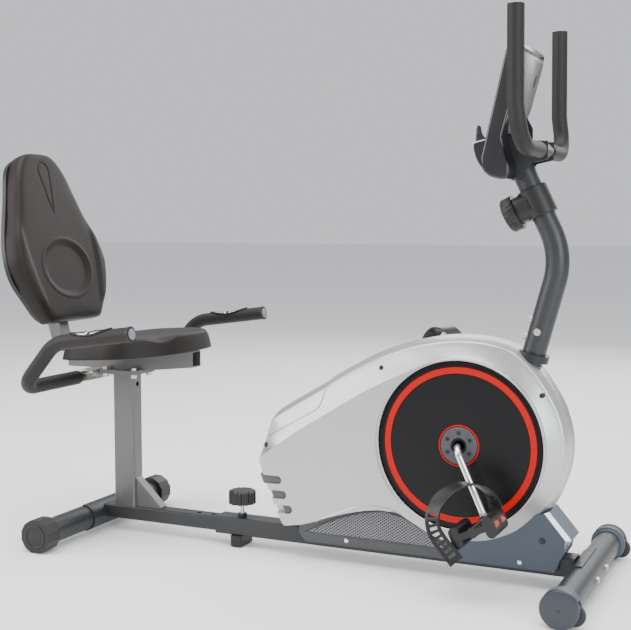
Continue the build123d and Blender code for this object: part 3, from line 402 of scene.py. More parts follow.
disc_black = coated("disc_satin_black", (0.0045, 0.0045, 0.005), specular=0.22, rough=(0.34, 0.42), drift=0.1,
                    grain_scale=1500, grain_depth=0.00002)
ring_red = coated("ring_red", (0.4, 0.003, 0.0005), specular=0.2, rough=(0.4, 0.48), drift=0.05,
                  grain_scale=1200, grain_depth=0.00001)
hub_grey = coated("hub_satin", (0.045, 0.046, 0.05), rough=(0.4, 0.5))
screw_black = coated("screw_blacked", (0.03, 0.031, 0.034), metallic=0.8, rough=(0.3, 0.4))
for side, word in ((-1, "right"), (1, "left")):
    # The rings and hub plates of both sides are one CAD node each, which the right side's piece replaces.
    rings_node, plates_node = (["disc_rings"], ["hub_plates"]) if side < 0 else ([], [])
    form = bmesh.new()
    turned(form, [(0.012, 0.056), (0.012, 0.0595), (0.0415, 0.0595), (0.0422, 0.0588), (0.0458, 0.0588),
                  (0.0465, 0.0597), (0.1, 0.0602), (0.1552, 0.0596), (0.156, 0.0588), (0.1712, 0.0588),
                  (0.172, 0.0597), (0.1755, 0.0596), (0.1762, 0.0585), (0.1775, 0.0585), (0.1782, 0.0594),
                  (0.182, 0.0592), (0.183, 0.058), (0.183, 0.0565)],
           (crank_x, 0, crank_z), (0, side, 0), 160)
    piece(f"crank_disc_{word}", form, disc_black, "crank", f"disc_{word}", slot="disc_black", crease=30)
    form = bmesh.new()
    turned(form, [(0.1564, 0.0586), (0.1564, 0.0606), (0.1572, 0.0614), (0.17, 0.0614), (0.1708, 0.0606),
                  (0.1708, 0.0586)], (crank_x, 0, crank_z), (0, side, 0), 160)
    turned(form, [(0.0424, 0.0586), (0.0424, 0.0612), (0.0429, 0.0618), (0.0452, 0.0618), (0.0457, 0.0612),
                  (0.0457, 0.0586)], (crank_x, 0, crank_z), (0, side, 0), 96)
    piece(f"red_rings_{word}", form, ring_red, "crank", *rings_node, slot="red_trim")
    form = bmesh.new()
    turned(form, [(0.0175, 0.0585), (0.0175, 0.0632), (0.0183, 0.064), (0.039, 0.0636), (0.0408, 0.0622),
                  (0.0412, 0.0592)], (crank_x, 0, crank_z), (0, side, 0), 96)
    piece(f"hub_plate_{word}", form, hub_grey, "crank", *plates_node, slot="dark_plastic")
    form = bmesh.new()
    for k in range(6):
        angle = radians(30 + 60 * k)
        place = (crank_x + 0.0285 * cos(angle), 0, crank_z + 0.0285 * sin(angle))
        turned(form, [(0, 0.0646), (0.0016, 0.0646), (0.0019, 0.0655), (0.0034, 0.0655), (0.0042, 0.0645),
                      (0.0042, 0.0632)], place, (0, side, 0), 18)
    piece(f"hub_screws_{word}", form, screw_black, "crank", slot="black_plastic")
    # A near-black lining in the gap between the disc and the shroud's lip: painted shade.
    form = bmesh.new()
    turned(form, [(0.1846, 0.0635), (0.1846, 0.0555), (0.1790, 0.0545)], (crank_x, 0, crank_z),
           (0, side, 0), 160)
    piece(f"disc_gap_{word}", form, seam_black_and_painted_shade, "main_frame", slot="black_plastic")

# ---- Crank, bearings and drive -----------------------------------------------------------------
# One-piece chromed crank; turned steel bearings, a cast flywheel with its magnet shoe and the
# ribbed belt inside the shroud.

chrome = coated("chrome", (0.8, 0.8, 0.82), metallic=1.0, rough=(0.06, 0.14), drift=0.03, grain_scale=700,
                grain_depth=0.000004)
zinc = coated("zinc_plate", (0.58, 0.57, 0.53), metallic=0.95, rough=(0.25, 0.4), drift=0.12, drift_scale=60,
              grain_scale=900, grain_depth=0.00002)
cast_iron = coated("cast_iron", (0.11, 0.11, 0.115), metallic=0.8, rough=(0.4, 0.6), drift=0.15,
                   grain_scale=500, grain_depth=0.0001)
bare_steel = coated("bare_steel", (0.45, 0.45, 0.46), metallic=0.95, rough=(0.25, 0.4))
belt_rubber = coated("belt_rubber", (0.015, 0.015, 0.015), rough=(0.7, 0.8))
black_plastic = coated("black_plastic", (0.011, 0.0108, 0.011), specular=0.38, rough=(0.36, 0.48), drift=0.1,
                       grain_scale=1100, grain_depth=0.00006)
rubber_black = coated("rubber_black", (0.02, 0.02, 0.02), rough=(0.6, 0.72), grain_depth=0.0001)
nylon = coated("nylon_white", (0.7, 0.7, 0.68), rough=(0.4, 0.5))
dress(chrome, "crank_rod")
dress(zinc, "adjust_pin", "seat_bolts", "frame_bolts", "side_clamp")
dress(cast_iron, "flywheel", "magnet_shoe")
dress(bare_steel, "bearings", "flywheel_axle")
dress(belt_rubber, "drive_belt")
dress(nylon, "drive_pulley", "slide_bush")
dress(black_plastic, "centre_foot", "adjust_knob", "mast_collar", "tension_housing", "tension_knob",
      "front_caps", "rear_cap_right", "rear_cap_left", "pedal_right", "pedal_left", "side_caps",
      "tension_cable", "backrest_shell")
dress(rubber_black, "wheel_right", "wheel_left")
button_grey = coated("button_grey", (0.2, 0.2, 0.21), rough=(0.4, 0.5))
dress(button_grey, "button_left", "button_middle", "button_right")

# ---- Hand grips --------------------------------------------------------------------------------
# Closed-cell foam sleeves over the bent handlebars, matt and finely pored, with a chromed pulse
# plate let into each side grip.

foam = coated("grip_foam", (0.0135, 0.0115, 0.0102), specular=0.3, rough=(0.5, 0.6), drift=0.18,
              drift_scale=22, grain_scale=1300, grain_depth=0.00022, grain_tint=0.25)
dress(foam, "front_grips", "side_grips")
dress(chrome, "pulse_sensors")

# ---- Seat and backrest -------------------------------------------------------------------------
# Moulded foam on a board under grained black-brown leatherette, drawn tight over the edges. The
# backrest face has a round lumbar dish and a long drop-shaped groove above it.

leatherette = coated("leatherette", (0.012, 0.0095, 0.008), specular=0.2, rough=(0.42, 0.54), drift=0.16,
                     drift_scale=12, grain_scale=620, grain_depth=0.00035, grain_tint=0.25)


def evened(pad, size, rounds):
    """Remake a pad's mesh in even squares, and ease out the steps that the squares leave."""
    remesh = pad.modifiers.new("even", "REMESH")
    remesh.mode = "VOXEL"
    remesh.voxel_size = size
    remesh.use_smooth_shade = True
    ease = pad.modifiers.new("ease", "SMOOTH")
    ease.factor = 0.5
    ease.iterations = rounds
    mesh = bpy.data.meshes.new_from_object(pad.evaluated_get(bpy.context.evaluated_depsgraph_get()))
    pad.modifiers.clear()
    pad.data = mesh


def puffed(pad, cap):
    """Blow a pad up under cloth pressure: a point moves by cap at most, in step with those round it."""
    scene = bpy.context.scene
    modifier = pad.modifiers.new("cover", "CLOTH")
    settings = modifier.settings
    settings.quality = 4
    settings.use_pressure = True
    settings.uniform_pressure_force = 4
    settings.tension_stiffness = 25
    settings.compression_stiffness = 25
    settings.bending_stiffness = 4
    settings.effector_weights.gravity = 0
    modifier.collision_settings.use_collision = False
    for step in range(1, 21):
        scene.frame_set(step)
    settled = pad.evaluated_get(bpy.context.evaluated_depsgraph_get()).data
    moved = [v.co.copy() for v in settled.vertices]
    pad.modifiers.clear()
    scene.frame_set(1)
    steps = [place - vertex.co for vertex, place in zip(pad.data.vertices, moved)]
    steps = [step * min(1.0, cap / max(step.length, 1e-9)) for step in steps]
    edges = [tuple(edge.vertices) for edge in pad.data.edges]
    for _ in range(30):
        sums = [step.copy() for step in steps]
        counts = [1] * len(steps)
        for one, two in edges:
            sums[one] += steps[two]
            sums[two] += steps[one]
            counts[one] += 1
            counts[two] += 1
        steps = [total / count for total, count in zip(sums, counts)]
    for vertex, step in zip(pad.data.vertices, steps):
        vertex.co += step


def pad_form(outline, spine, rows, lay):
    """Closed pad from an outline: rows of (share of the way to the spine, height), laid out by lay."""
    form = bmesh.new()
    low, high = spine
    rings = []
    for share, height in rows:
        ring = []
        for u, v in outline:
            cu, cv = 0.0, min(max(v, low), high)
            ring.append(form.verts.new(lay(u + (cu - u) * share, v + (cv - v) * share, height)))
        rings.append(ring)
    between(form, rings)
    bmesh.ops.holes_fill(form, edges=[e for e in form.edges if e.is_boundary], sides=0)
    bmesh.ops.remove_doubles(form, verts=form.verts, dist=0.0004)
    return form


def smooth_step(low, high, value):
    share = min(max((value - low) / (high - low), 0.0), 1.0)
    return share * share * (3 - 2 * share)


lean = radians(15.96)
back_up = Vector((-sin(lean), 0, cos(lean)))
back_out = Vector((cos(lean), 0, sin(lean)))
back_foot = Vector((behind(1297, 527)[0], 0, behind(1297, 527)[1]))
half_widths = [(86, 3), (112, 12), (134, 43), (155, 79), (172, 122), (180, 160), (171, 214), (156, 250),
               (139, 289), (113, 356), (92, 400), (66, 432), (36, 445)]
back_right = [Vector((w / 1000, v / 1000, 0)) for w, v in half_widths]
back_loop = through(back_right + [Vector((-p.x, p.y, 0)) for p in reversed(back_right)], 200, closed=True)


def lay_back(u, v, height):
    return back_foot + Vector((0, 1, 0)) * u + back_up * v + back_out * height


back_rows = [(0.985, -0.035), (0.9, -0.035), (0.75, -0.035), (0.5, -0.035), (0.25, -0.035), (0.06, -0.035),
             (0.036, -0.0365), (0.032, -0.042), (0.022, -0.0445), (0.008, -0.044), (0, -0.0405), (0, -0.034),
             (0, -0.025), (0, -0.016), (0.004, -0.0105), (0.02, -0.006),
             (0.045, -0.003), (0.08, -0.0015), (0.13, 0), (0.19, 0), (0.25, 0), (0.31, 0), (0.37, 0),
             (0.43, 0), (0.49, 0), (0.55, 0), (0.61, 0), (0.67, 0), (0.73, 0), (0.79, 0), (0.85, 0),
             (0.91, 0), (0.96, 0), (0.985, 0)]
form = pad_form([(p.x, p.y) for p in back_loop], (0.12, 0.36), back_rows, lay_back)
backrest = piece("backrest_pad", form, leatherette, "seat_frame", "backrest_cushion", slot="upholstery",
                 crease=180)
evened(backrest, 0.0045, 6)
puffed(backrest, 0.004)


def refine(pad, levels):
    """Subdivide a pad for good, so that its moulded lines can be pressed into it."""
    modifier = pad.modifiers.new("refine", "SUBSURF")
    modifier.levels = levels
    modifier.render_levels = levels
    mesh = bpy.data.meshes.new_from_object(pad.evaluated_get(bpy.context.evaluated_depsgraph_get()))
    pad.modifiers.clear()
    pad.data = mesh


def drop_distance(u, v):
    """Distance from the drop-shaped line: round at its top, drawn out to a point below."""
    top, low, round_r = 0.396, 0.284, 0.021
    if v > top:
        return abs(sqrt(u * u + (v - top) ** 2) - round_r)
    if v < low:
        return sqrt(u * u + (v - low) ** 2)
    return abs(abs(u) - round_r * ((v - low) / (top - low)) ** 0.85)


refine(backrest, 1)
for vertex in backrest.data.vertices:
    offset = vertex.co - back_foot
    u, v, height = offset.y, offset.dot(back_up), offset.dot(back_out)
    if height < -0.02:
        continue
    push = 0.0
    dish = sqrt(((u - 0.004) / 0.094) ** 2 + ((v - 0.14) / 0.074) ** 2)
    push -= 0.0062 * (1 - smooth_step(0.8, 1.0, dish))
    push += 0.0012 * (1 - smooth_step(0.0, 0.1, abs(dish - 1.03)))
    push -= 0.002 * (1 - smooth_step(0.0, 0.0045, drop_distance(u, v)))
    wing = 0.118 + 0.028 * sin((v - 0.05) * 9.0)
    push += 0.005 * smooth_step(wing - 0.016, wing + 0.006, abs(u)) * smooth_step(0.03, 0.07, v) \
        * (1 - smooth_step(0.2, 0.32, v))
    vertex.co += back_out * push * smooth_step(-0.012, -0.004, height)

# Seat: a rounded nose at the front, thigh channels each side of its middle, a steep welted side.
tilt = tan(radians(3.5))
seat_right = [Vector((w / 1000, v / 1000, 0)) for w, v in
              [(150, 2), (184, 14), (198, 50), (201, 110), (200, 150), (188, 184), (160, 214), (128, 240),
               (92, 259), (56, 268.5), (20, 272)]]
seat_loop = through(seat_right + [Vector((-p.x, p.y, 0)) for p in reversed(seat_right)], 220, closed=True)
seat_rear = behind(1222, 450.5)


def lay_seat(u, v, height):
    return Vector((seat_rear[0] + v, u, seat_rear[1] + v * tilt + height))


def welt_height(u, v):
    """Height of the pad's upper edge line above its base."""
    front = smooth_step(0.14, 0.26, v)
    channel = 1 - smooth_step(0.0, 0.055, abs(abs(u) - 0.118))
    return 0.0435 - 0.0105 * channel * front


seat_rows = [(0.985, 0), (0.8, 0), (0.5, 0), (0.25, 0), (0.08, 0), (0.01, 0.0), (0, 0.0012), (0, 0.004),
             (0.008, 0.3), (0.022, 0.6), (0.04, 0.85), (0.05, 0.95), (0.058, 1.0), (0.075, 1.02), (0.1, 1.03)]
seat_rows += [(0.13 + k * 0.045, 1.04) for k in range(19)]
form = bmesh.new()
rings = []
for share, height in seat_rows:
    ring = []
    for p in seat_loop:
        cv = min(max(p.y, 0.12), 0.16)
        u, v = p.x * (1 - share), p.y + (cv - p.y) * share
        if height > 0.1:
            rise = height * welt_height(p.x, p.y)
            dome = smooth_step(0.05, 0.5, share)
            rise = rise * (1 - dome) + 0.041 * dome
            rise -= 0.006 * smooth_step(0.2, 0.8, share)
        else:
            rise = height
        ring.append(form.verts.new(lay_seat(u, v, rise)))
    rings.append(ring)
between(form, rings)
bmesh.ops.holes_fill(form, edges=[e for e in form.edges if e.is_boundary], sides=0)
bmesh.ops.remove_doubles(form, verts=form.verts, dist=0.0004)
seat = piece("seat_pad", form, leatherette, "seat_frame", "seat_cushion", slot="upholstery", crease=180)
puffed(seat, 0.004)
refine(seat, 1)
for vertex in seat.data.vertices:
    base = seat_rear[1] + (vertex.co.x - seat_rear[0]) * tilt
    if vertex.co.z < base:
        vertex.co.z = base

# ---- Lower cover -------------------------------------------------------------------------------
# Two side panels of dark moulded plastic below the shroud, each with a raised rim and a lattice of
# light strands over a near-black sheet that stands for the shade behind them (painted shade), and a boxed
# leg whose front faces are a lighter copy of its slate (painted light), with front chamfers drawn bright
# (painted highlight).

cover_grey = coated("cover_grey", (0.045, 0.046, 0.048), metallic=0.35, rough=(0.3, 0.4), coat=0.25)
slate_plastic = coated("slate_plastic", (0.036, 0.05, 0.07), metallic=0.35, rough=(0.3, 0.4), coat=0.3)
painted_light_slate = coated("painted_light_slate", (0.07, 0.1, 0.125), metallic=0.4, rough=(0.3, 0.38), coat=0.3)
painted_highlight_chamfer = coated("painted_highlight_chamfer", (0.55, 0.6, 0.62), metallic=0.7, rough=(0.22, 0.3), coat=0.3)
strand_grey = coated("strand_grey", (0.2, 0.2, 0.21), metallic=0.4, rough=(0.32, 0.42))
panel_top = [(655, 94), (640, 99), (605, 111), (563, 130), (523, 148), (490, 158), (463, 162), (432, 160),
             (403, 150), (380, 138), (357, 126), (335, 115), (305, 106), (285, 102)]
mesh_corners = [(633, 67), (566, 101), (500, 124), (447, 133), (400, 124), (345, 97), (300, 66)]
for side, word in ((-1, "right"), (1, "left")):
    form = bmesh.new()
    outline = [behind(*p) for p in panel_top] + [behind(285, 42), behind(640, 42), behind(655, 60)]
    low = [form.verts.new((x, side * 0.0435, z)) for x, z in outline]
    high = [form.verts.new((x, side * 0.046, z)) for x, z in outline]
    front = form.faces.new(high)
    between(form, [low, high])
    window = [behind(*p) for p in mesh_corners]
    bmesh.ops.bevel(form, geom=[e for e in front.edges], offset=0.002, segments=2, profile=0.5,
                    affect="EDGES", material=-1)
    piece(f"cover_panel_{word}", form, cover_grey, "main_frame", slot="slate_plastic", crease=30)
    lattice = bmesh.new()
    pitch_x, pitch_z = 0.0094, 0.0066
    x0, z0 = behind(640, 60)
    for i in range(40):
        for j in range(28):
            cx = x0 + i * pitch_x + (j % 2) * pitch_x / 2
            cz = z0 + j * pitch_z / 2
            corners = ((cx - pitch_x / 2, cz), (cx, cz - pitch_z / 2),
                       (cx + pitch_x / 2, cz), (cx, cz + pitch_z / 2))
            lattice.faces.new([lattice.verts.new((x, side * 0.0466, z)) for x, z in corners])
    bmesh.ops.remove_doubles(lattice, verts=lattice.verts, dist=0.0001)
    middle = Vector((sum(x for x, z in window) / len(window), 0, sum(z for x, z in window) / len(window)))
    for k in range(len(window)):
        (xa, za), (xb, zb) = window[k], window[(k + 1) % len(window)]
        normal = Vector((zb - za, 0, xa - xb)).normalized()
        if normal.dot(middle - Vector((xa, 0, za))) > 0:
            normal = -normal
        bmesh.ops.bisect_plane(lattice, geom=lattice.verts[:] + lattice.edges[:] + lattice.faces[:],
                               dist=1e-6, plane_co=(xa, 0, za), plane_no=normal, clear_outer=True)
    cells = bmesh.ops.inset_individual(lattice, faces=lattice.faces[:], thickness=0.00095,
                                       use_even_offset=True)
    rim_faces = set(cells["faces"])
    holes = [f for f in lattice.faces if f not in rim_faces]
    bmesh.ops.delete(lattice, geom=holes, context="FACES")
    grid = piece(f"cover_lattice_{word}", lattice, strand_grey, "main_frame", slot="slate_plastic",
                 backs=False)
    thick = grid.modifiers.new("strands", "SOLIDIFY")
    thick.thickness = 0.0012
    thick.offset = 0
    form = bmesh.new()
    inner = [Vector((x, 0, z)) for x, z in window]
    band = []
    for grow, out in ((0.0, 0.0462), (0.0008, 0.0476), (0.0022, 0.0478), (0.0032, 0.0462)):
        ring = []
        for k, p in enumerate(inner):
            before, after = inner[k - 1], inner[(k + 1) % len(inner)]
            one = (p - before).normalized()
            two = (after - p).normalized()
            n1, n2 = Vector((-one.z, 0, one.x)), Vector((-two.z, 0, two.x))
            mitre = (n1 + n2).normalized()
            if mitre.dot(p - middle) < 0:
                mitre = -mitre
            reach = grow / max(abs(mitre.dot(n1)), 0.3)
            ring.append(form.verts.new((p.x + mitre.x * reach, side * out, p.z + mitre.z * reach)))
        band.append(ring)
    between(form, band)
    piece(f"lattice_rim_{word}", form, cover_grey, "main_frame", slot="slate_plastic")
    # A near-black sheet just behind the strands fills the window: painted shade seen through the holes.
    form = bmesh.new()
    form.faces.new([form.verts.new((x, side * 0.0461, z)) for x, z in window])
    bmesh.ops.inset_region(form, faces=form.faces[:], thickness=0.001)
    piece(f"lattice_recess_{word}", form, seam_black_and_painted_shade, "main_frame", slot="black_plastic")
    form = bmesh.new()
    for back, up in ((535, 56), (134, 56)):
        x, z = behind(back, up)
        turned(form, [(0, 0.0492), (0.0032, 0.0492), (0.0048, 0.0484), (0.0056, 0.0468), (0.0056, 0.045)],
               (x, 0, z), (0, side, 0), 24)
    piece(f"cover_bolts_{word}", form, chrome, "main_frame", slot="zinc")
    # A hole in the leg, drawn as a near-black disc in a thin rim: painted shade.
    form = bmesh.new()
    x, z = behind(86, 108)
    turned(form, [(0, 0.0464), (0.0052, 0.0464), (0.0056, 0.0469), (0.0066, 0.0469), (0.0072, 0.0462)],
           (x, 0, z), (0, side, 0), 32)
    piece(f"leg_hole_{word}", form, seam_black_and_painted_shade, "main_frame", slot="black_plastic")
form = bmesh.new()
leg = [behind(*p) for p in [(286, 42), (286, 118), (230, 126), (150, 140), (110, 160), (74, 170), (25, 113),
                            (50, 84), (55, 42)]]
right_ring = [form.verts.new((x, -0.046, z)) for x, z in leg]
left_ring = [form.verts.new((x, 0.046, z)) for x, z in leg]
form.faces.new(right_ring)
form.faces.new(left_ring)
between(form, [right_ring, left_ring])
# The leg's front edges are bevelled into chamfers that take a bright silver-blue: painted highlight.
front_edges = [e for e in form.edges if abs(e.verts[0].co.y - e.verts[1].co.y) < 0.001
               and min(v.co.x for v in e.verts) > behind(80, 0)[0]]
bmesh.ops.bevel(form, geom=front_edges, offset=0.009, segments=1, profile=0.5, affect="EDGES", material=1)
leg_piece = piece("cover_leg", form, slate_plastic, "main_frame", "lower_cover", slot="slate_plastic",
                  crease=20)
leg_piece.data.materials.append(painted_highlight_chamfer)
leg_piece.data.materials.append(painted_light_slate)
# Faces turned to the front take a lighter copy of the slate: painted light.
for polygon in leg_piece.data.polygons:
    if polygon.material_index == 0 and polygon.normal.x > 0.4 and abs(polygon.normal.y) < 0.2:
        polygon.material_index = 2
soften = leg_piece.modifiers.new("edges", "BEVEL")
soften.width = 0.0008
soften.segments = 2

# ---- Pedals and straps -------------------------------------------------------------------------
# Moulded black pedals with amber reflectors. A soft rubber strap arches over each one, with a
# ladder of holes down its outer side and a loose tail below.

strap_rubber = coated("strap_rubber", (0.008, 0.008, 0.0085), specular=0.35, rough=(0.3, 0.42), drift=0.1,
                      grain_scale=900, grain_depth=0.00005)
reflector = coated("amber_reflector", (0.4, 0.035, 0.006), rough=(0.15, 0.25), coat=0.3, grain_scale=500,
                   grain_depth=0.0003)
pedal_tilt = radians(24)
crank_arm, crank_slope, pedal_middle = 0.165, radians(63), 0.160
strap_clearance = 0.0465  # how far the strap may come inwards from the pedal's middle, clear of the crank
tread_dir = Vector((cos(pedal_tilt), 0, sin(pedal_tilt)))
tread_up = Vector((-sin(pedal_tilt), 0, cos(pedal_tilt)))
for side, word in ((-1, "right"), (1, "left")):
    reach = crank_arm * side
    eye = Vector((crank_x - reach * cos(crank_slope), 0, crank_z + reach * sin(crank_slope)))
    middle_y = side * pedal_middle
    origin = Vector((eye.x, middle_y, eye.z))
    # Route: along the tread, above it, out from the middle; and which way the strap's face looks.
    route = [(-51, -44, 54), (-58, -22, 54), (-67, 5, 54), (-72, 30, 52), (-67, 58, 45), (-48, 82, 30),
             (-15, 95, 8), (14, 89, -14), (33, 67, -33), (38, 36, -45), (29, 6, -48), (24, -8, -48)]
    looks = [(0.25, 0, 1), (0.25, 0, 1), (0.25, 0, 1), (0.1, 0.1, 1), (-0.05, 0.3, 0.95), (-0.05, 0.55, 0.85),
             (0.1, 0.75, 0.7), (0.35, 0.8, 0.35), (0.6, 0.65, -0.35), (0.5, 0.2, -0.8), (0.3, 0, -1),
             (0.2, 0, -1)]
    line = through([Vector((t / 1000, y * side / 1000, up / 1000)) for t, up, y in route], 104)
    facing = through([Vector((t, y * side, up)) for t, up, y in looks], 104)
    form = bmesh.new()
    columns = (-0.0165, -0.0145, -0.0085, 0.0085, 0.0145, 0.0165)
    rows = []
    for k, p in enumerate(line):
        before, after = line[max(k - 1, 0)], line[min(k + 1, len(line) - 1)]
        along = (after - before).normalized()
        width = along.cross(facing[k]).normalized()
        share = k / (len(line) - 1)
        wide = 1.12 if 0.4 < share < 0.7 else 1.0
        row = []
        for c in columns:
            out = max(side * (p.y + width.y * c * wide), -strap_clearance)
            row.append(form.verts.new(origin + tread_dir * (p.x + width.x * c * wide)
                                      + Vector((0, side, 0)) * out
                                      + tread_up * (p.z + width.z * c * wide)))
        rows.append(row)
    for k, (one, two) in enumerate(zip(rows, rows[1:])):
        for j in range(len(columns) - 1):
            hole = j == 2 and ((3 <= k <= 34 and k % 4 in (0, 1)) or (84 <= k <= 98 and k % 5 in (0, 1)))
            if not hole:
                form.faces.new((one[j], one[j + 1], two[j + 1], two[j]))
    strap = piece(f"pedal_strap_{word}", form, strap_rubber, f"pedal_{word}", f"strap_{word}", slot="rubber",
                  crease=50)
    thick = strap.modifiers.new("thickness", "SOLIDIFY")
    thick.thickness = 0.0034
    thick.offset = 0
    soft = strap.modifiers.new("edges", "BEVEL")
    soft.width = 0.0006
    soft.segments = 2
    form = bmesh.new()
    for offset in (-0.0415, 0.0415):
        for end in (-1, 1):
            centre = Vector((eye.x, middle_y + offset * 0.55, eye.z)) + tread_dir * end * 0.0502
            across = Vector((0, 1, 0))
            corners = [centre + across * a + tread_up * b for a, b in
                       ((-0.0125, -0.0065), (0.0125, -0.0065), (0.0125, 0.0065), (-0.0125, 0.0065))]
            back = [form.verts.new(c - tread_dir * end * 0.003) for c in corners]
            face = [form.verts.new(c) for c in corners]
            form.faces.new(face)
            between(form, [back, face])
    bmesh.ops.bevel(form, geom=[e for e in form.edges if not e.is_boundary], offset=0.0008, segments=2,
                    profile=0.5, affect="EDGES", material=-1)
    piece(f"pedal_reflectors_{word}", form, reflector, f"pedal_{word}", slot="red_trim")

# ---- Console -----------------------------------------------------------------------------------
# A dark moulded head that leans towards the rider, over a shelf with a curved chin, a pale lip
# and a small hook. The display sits behind a glossy window over three keys; a grey metallic
# plate closes the back.

console_black = coated("console_black", (0.01, 0.009, 0.0105), specular=0.4, rough=(0.18, 0.28), drift=0.1,
                       coat=0.5, grain_scale=1200, grain_depth=0.00002)
console_plate = coated("console_plate", (0.2, 0.185, 0.17), metallic=0.55, rough=(0.32, 0.42), coat=0.2,
                       grain_scale=1500, grain_depth=0.00003)
lip_white = coated("lip_white", (0.6, 0.62, 0.66), rough=(0.3, 0.4), coat=0.2)


def wall_prism(form, outline, half, round_by, segments=4):
    """Prism across the bike from a side outline, its two ends rounded over."""
    ends = []
    for sign in (-1, 1):
        ends.append([form.verts.new((x, sign * half, z)) for x, z in outline])
        form.faces.new(ends[-1])
    between(form, ends)
    bmesh.ops.recalc_face_normals(form, faces=form.faces)
    rim = [e for e in form.edges if abs(e.verts[0].co.y - e.verts[1].co.y) < 1e-6]
    bmesh.ops.bevel(form, geom=rim, offset=round_by, segments=segments, profile=0.5, affect="EDGES",
                    material=-1)


console_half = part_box("console_face")[1].y
head_side = [behind(*p) for p in [
    (166, 1136), (170, 1128), (219, 912), (218, 896), (212, 884), (203, 876), (192, 871), (176, 868),
    (163, 869), (160, 880), (160, 896), (176, 955), (129, 1132), (132, 1140), (142, 1144), (158, 1142)]]
form = bmesh.new()
wall_prism(form, head_side, console_half - 0.001, 0.005)
head = piece("console_head", form, console_black, "main_frame", "console_face", slot="black_plastic",
             crease=32)
room = bmesh.new()
room_half, room_rear, room_front = 0.0325, front_x - 0.193, front_x - 0.1
corners = [(room_rear, -room_half), (room_front, -room_half), (room_front, room_half), (room_rear, room_half)]
rings = [[room.verts.new((x, y, z)) for x, y in corners] for z in (0.85, 1.02)]
room.faces.new(rings[0])
room.faces.new(rings[1])
between(room, rings)
cut_with(head, room, "mast_room")
smooth_again(head, 32)
# Shelf and chin below the face: a thin curved wall that sweeps from the lip down to the head's foot.
chin = through([mid(*p) for p in
                [(205, 948), (222, 944), (236, 941), (239, 934), (237, 922), (231, 906), (222, 892),
                 (211, 881)]], 40)
form = bmesh.new()
half = console_half - 0.004
lines = []
for share in (-1, -0.985, -0.95, -0.8, -0.5, 0, 0.5, 0.8, 0.95, 0.985, 1):
    pull = 0.006 * share ** 8
    lines.append([form.verts.new((p.x + pull, share * half, p.z + pull * 0.4)) for p in chin])
between(form, lines, closed=False)
for end in (lines[0], lines[-1]):
    foot = [form.verts.new((p.co.x + 0.004, p.co.y * 0.97, p.co.z)) for p in (end[0], end[-1])]
    form.faces.new(end + [foot[1], foot[0]])
chin_piece = piece("console_chin", form, console_black, "main_frame", slot="black_plastic", crease=40)
wall = chin_piece.modifiers.new("wall", "SOLIDIFY")
wall.thickness = 0.0024
wall.offset = 0
form = bmesh.new()
path = [Vector((behind(203, 0)[0], -half, 0.9515)), Vector((behind(222, 0)[0], -half, 0.947)),
        Vector((behind(236, 0)[0], -half, 0.9435)), Vector((behind(239.5, 0)[0], -half + 0.005, 0.9425)),
        Vector((behind(240, 0)[0], 0, 0.942)), Vector((behind(239.5, 0)[0], half - 0.005, 0.9425)),
        Vector((behind(236, 0)[0], half, 0.9435)), Vector((behind(203, 0)[0], half, 0.9515))]
swept(form, path, [(-0.0011, -0.0011), (0.0011, -0.0011), (0.0011, 0.0011), (-0.0011, 0.0011)], (0, 0, 1))
bmesh.ops.bevel(form, geom=form.edges[:], offset=0.0004, segments=2, profile=0.5, affect="EDGES", material=-1)
piece("shelf_lip", form, lip_white, "main_frame", slot="silver_plastic")
form = bmesh.new()
hook = [behind(*p) for p in [(231, 944), (231, 972), (229, 979), (225, 981), (221, 978), (219, 966),
                             (214, 957), (204, 951), (204, 944)]]
for low, high in ((-half + 0.003, -half + 0.0075), (half - 0.0075, half - 0.003)):
    ends = [[form.verts.new((x, y, z)) for x, z in hook] for y in (low, high)]
    form.faces.new(ends[0])
    form.faces.new(ends[1])
    between(form, ends)
bmesh.ops.recalc_face_normals(form, faces=form.faces)
bmesh.ops.bevel(form, geom=form.edges[:], offset=0.001, segments=2, profile=0.5, affect="EDGES", material=-1)
piece("shelf_hooks", form, console_black, "main_frame", slot="black_plastic")

# The back: a metallic plate with a slot, let into the head.
lean_back = Vector((behind(129, 0)[0] - behind(176, 0)[0], 0, 1.132 - 0.955)).normalized()
back_normal = Vector((lean_back.z, 0, -lean_back.x))
plate_foot = Vector((behind(176, 0)[0], 0, 0.955))
form = bmesh.new()
plate = [(-0.078, 0.062), (-0.082, 0.07), (-0.082, 0.166), (-0.076, 0.176), (0.076, 0.176), (0.082, 0.166),
         (0.082, 0.07), (0.078, 0.062), (0.04, 0.01), (-0.04, 0.01)]
rings = [[form.verts.new(plate_foot + Vector((0, y, 0)) + lean_back * v + back_normal * d) for y, v in plate]
         for d in (-0.003, 0.0022)]
form.faces.new(rings[1])
between(form, rings)
bmesh.ops.bevel(form, geom=[e for e in form.edges if not e.is_boundary], offset=0.0012, segments=2,
                profile=0.5, affect="EDGES", material=-1)
piece("console_back_plate", form, console_plate, "main_frame", "console_back", slot="silver_plastic")
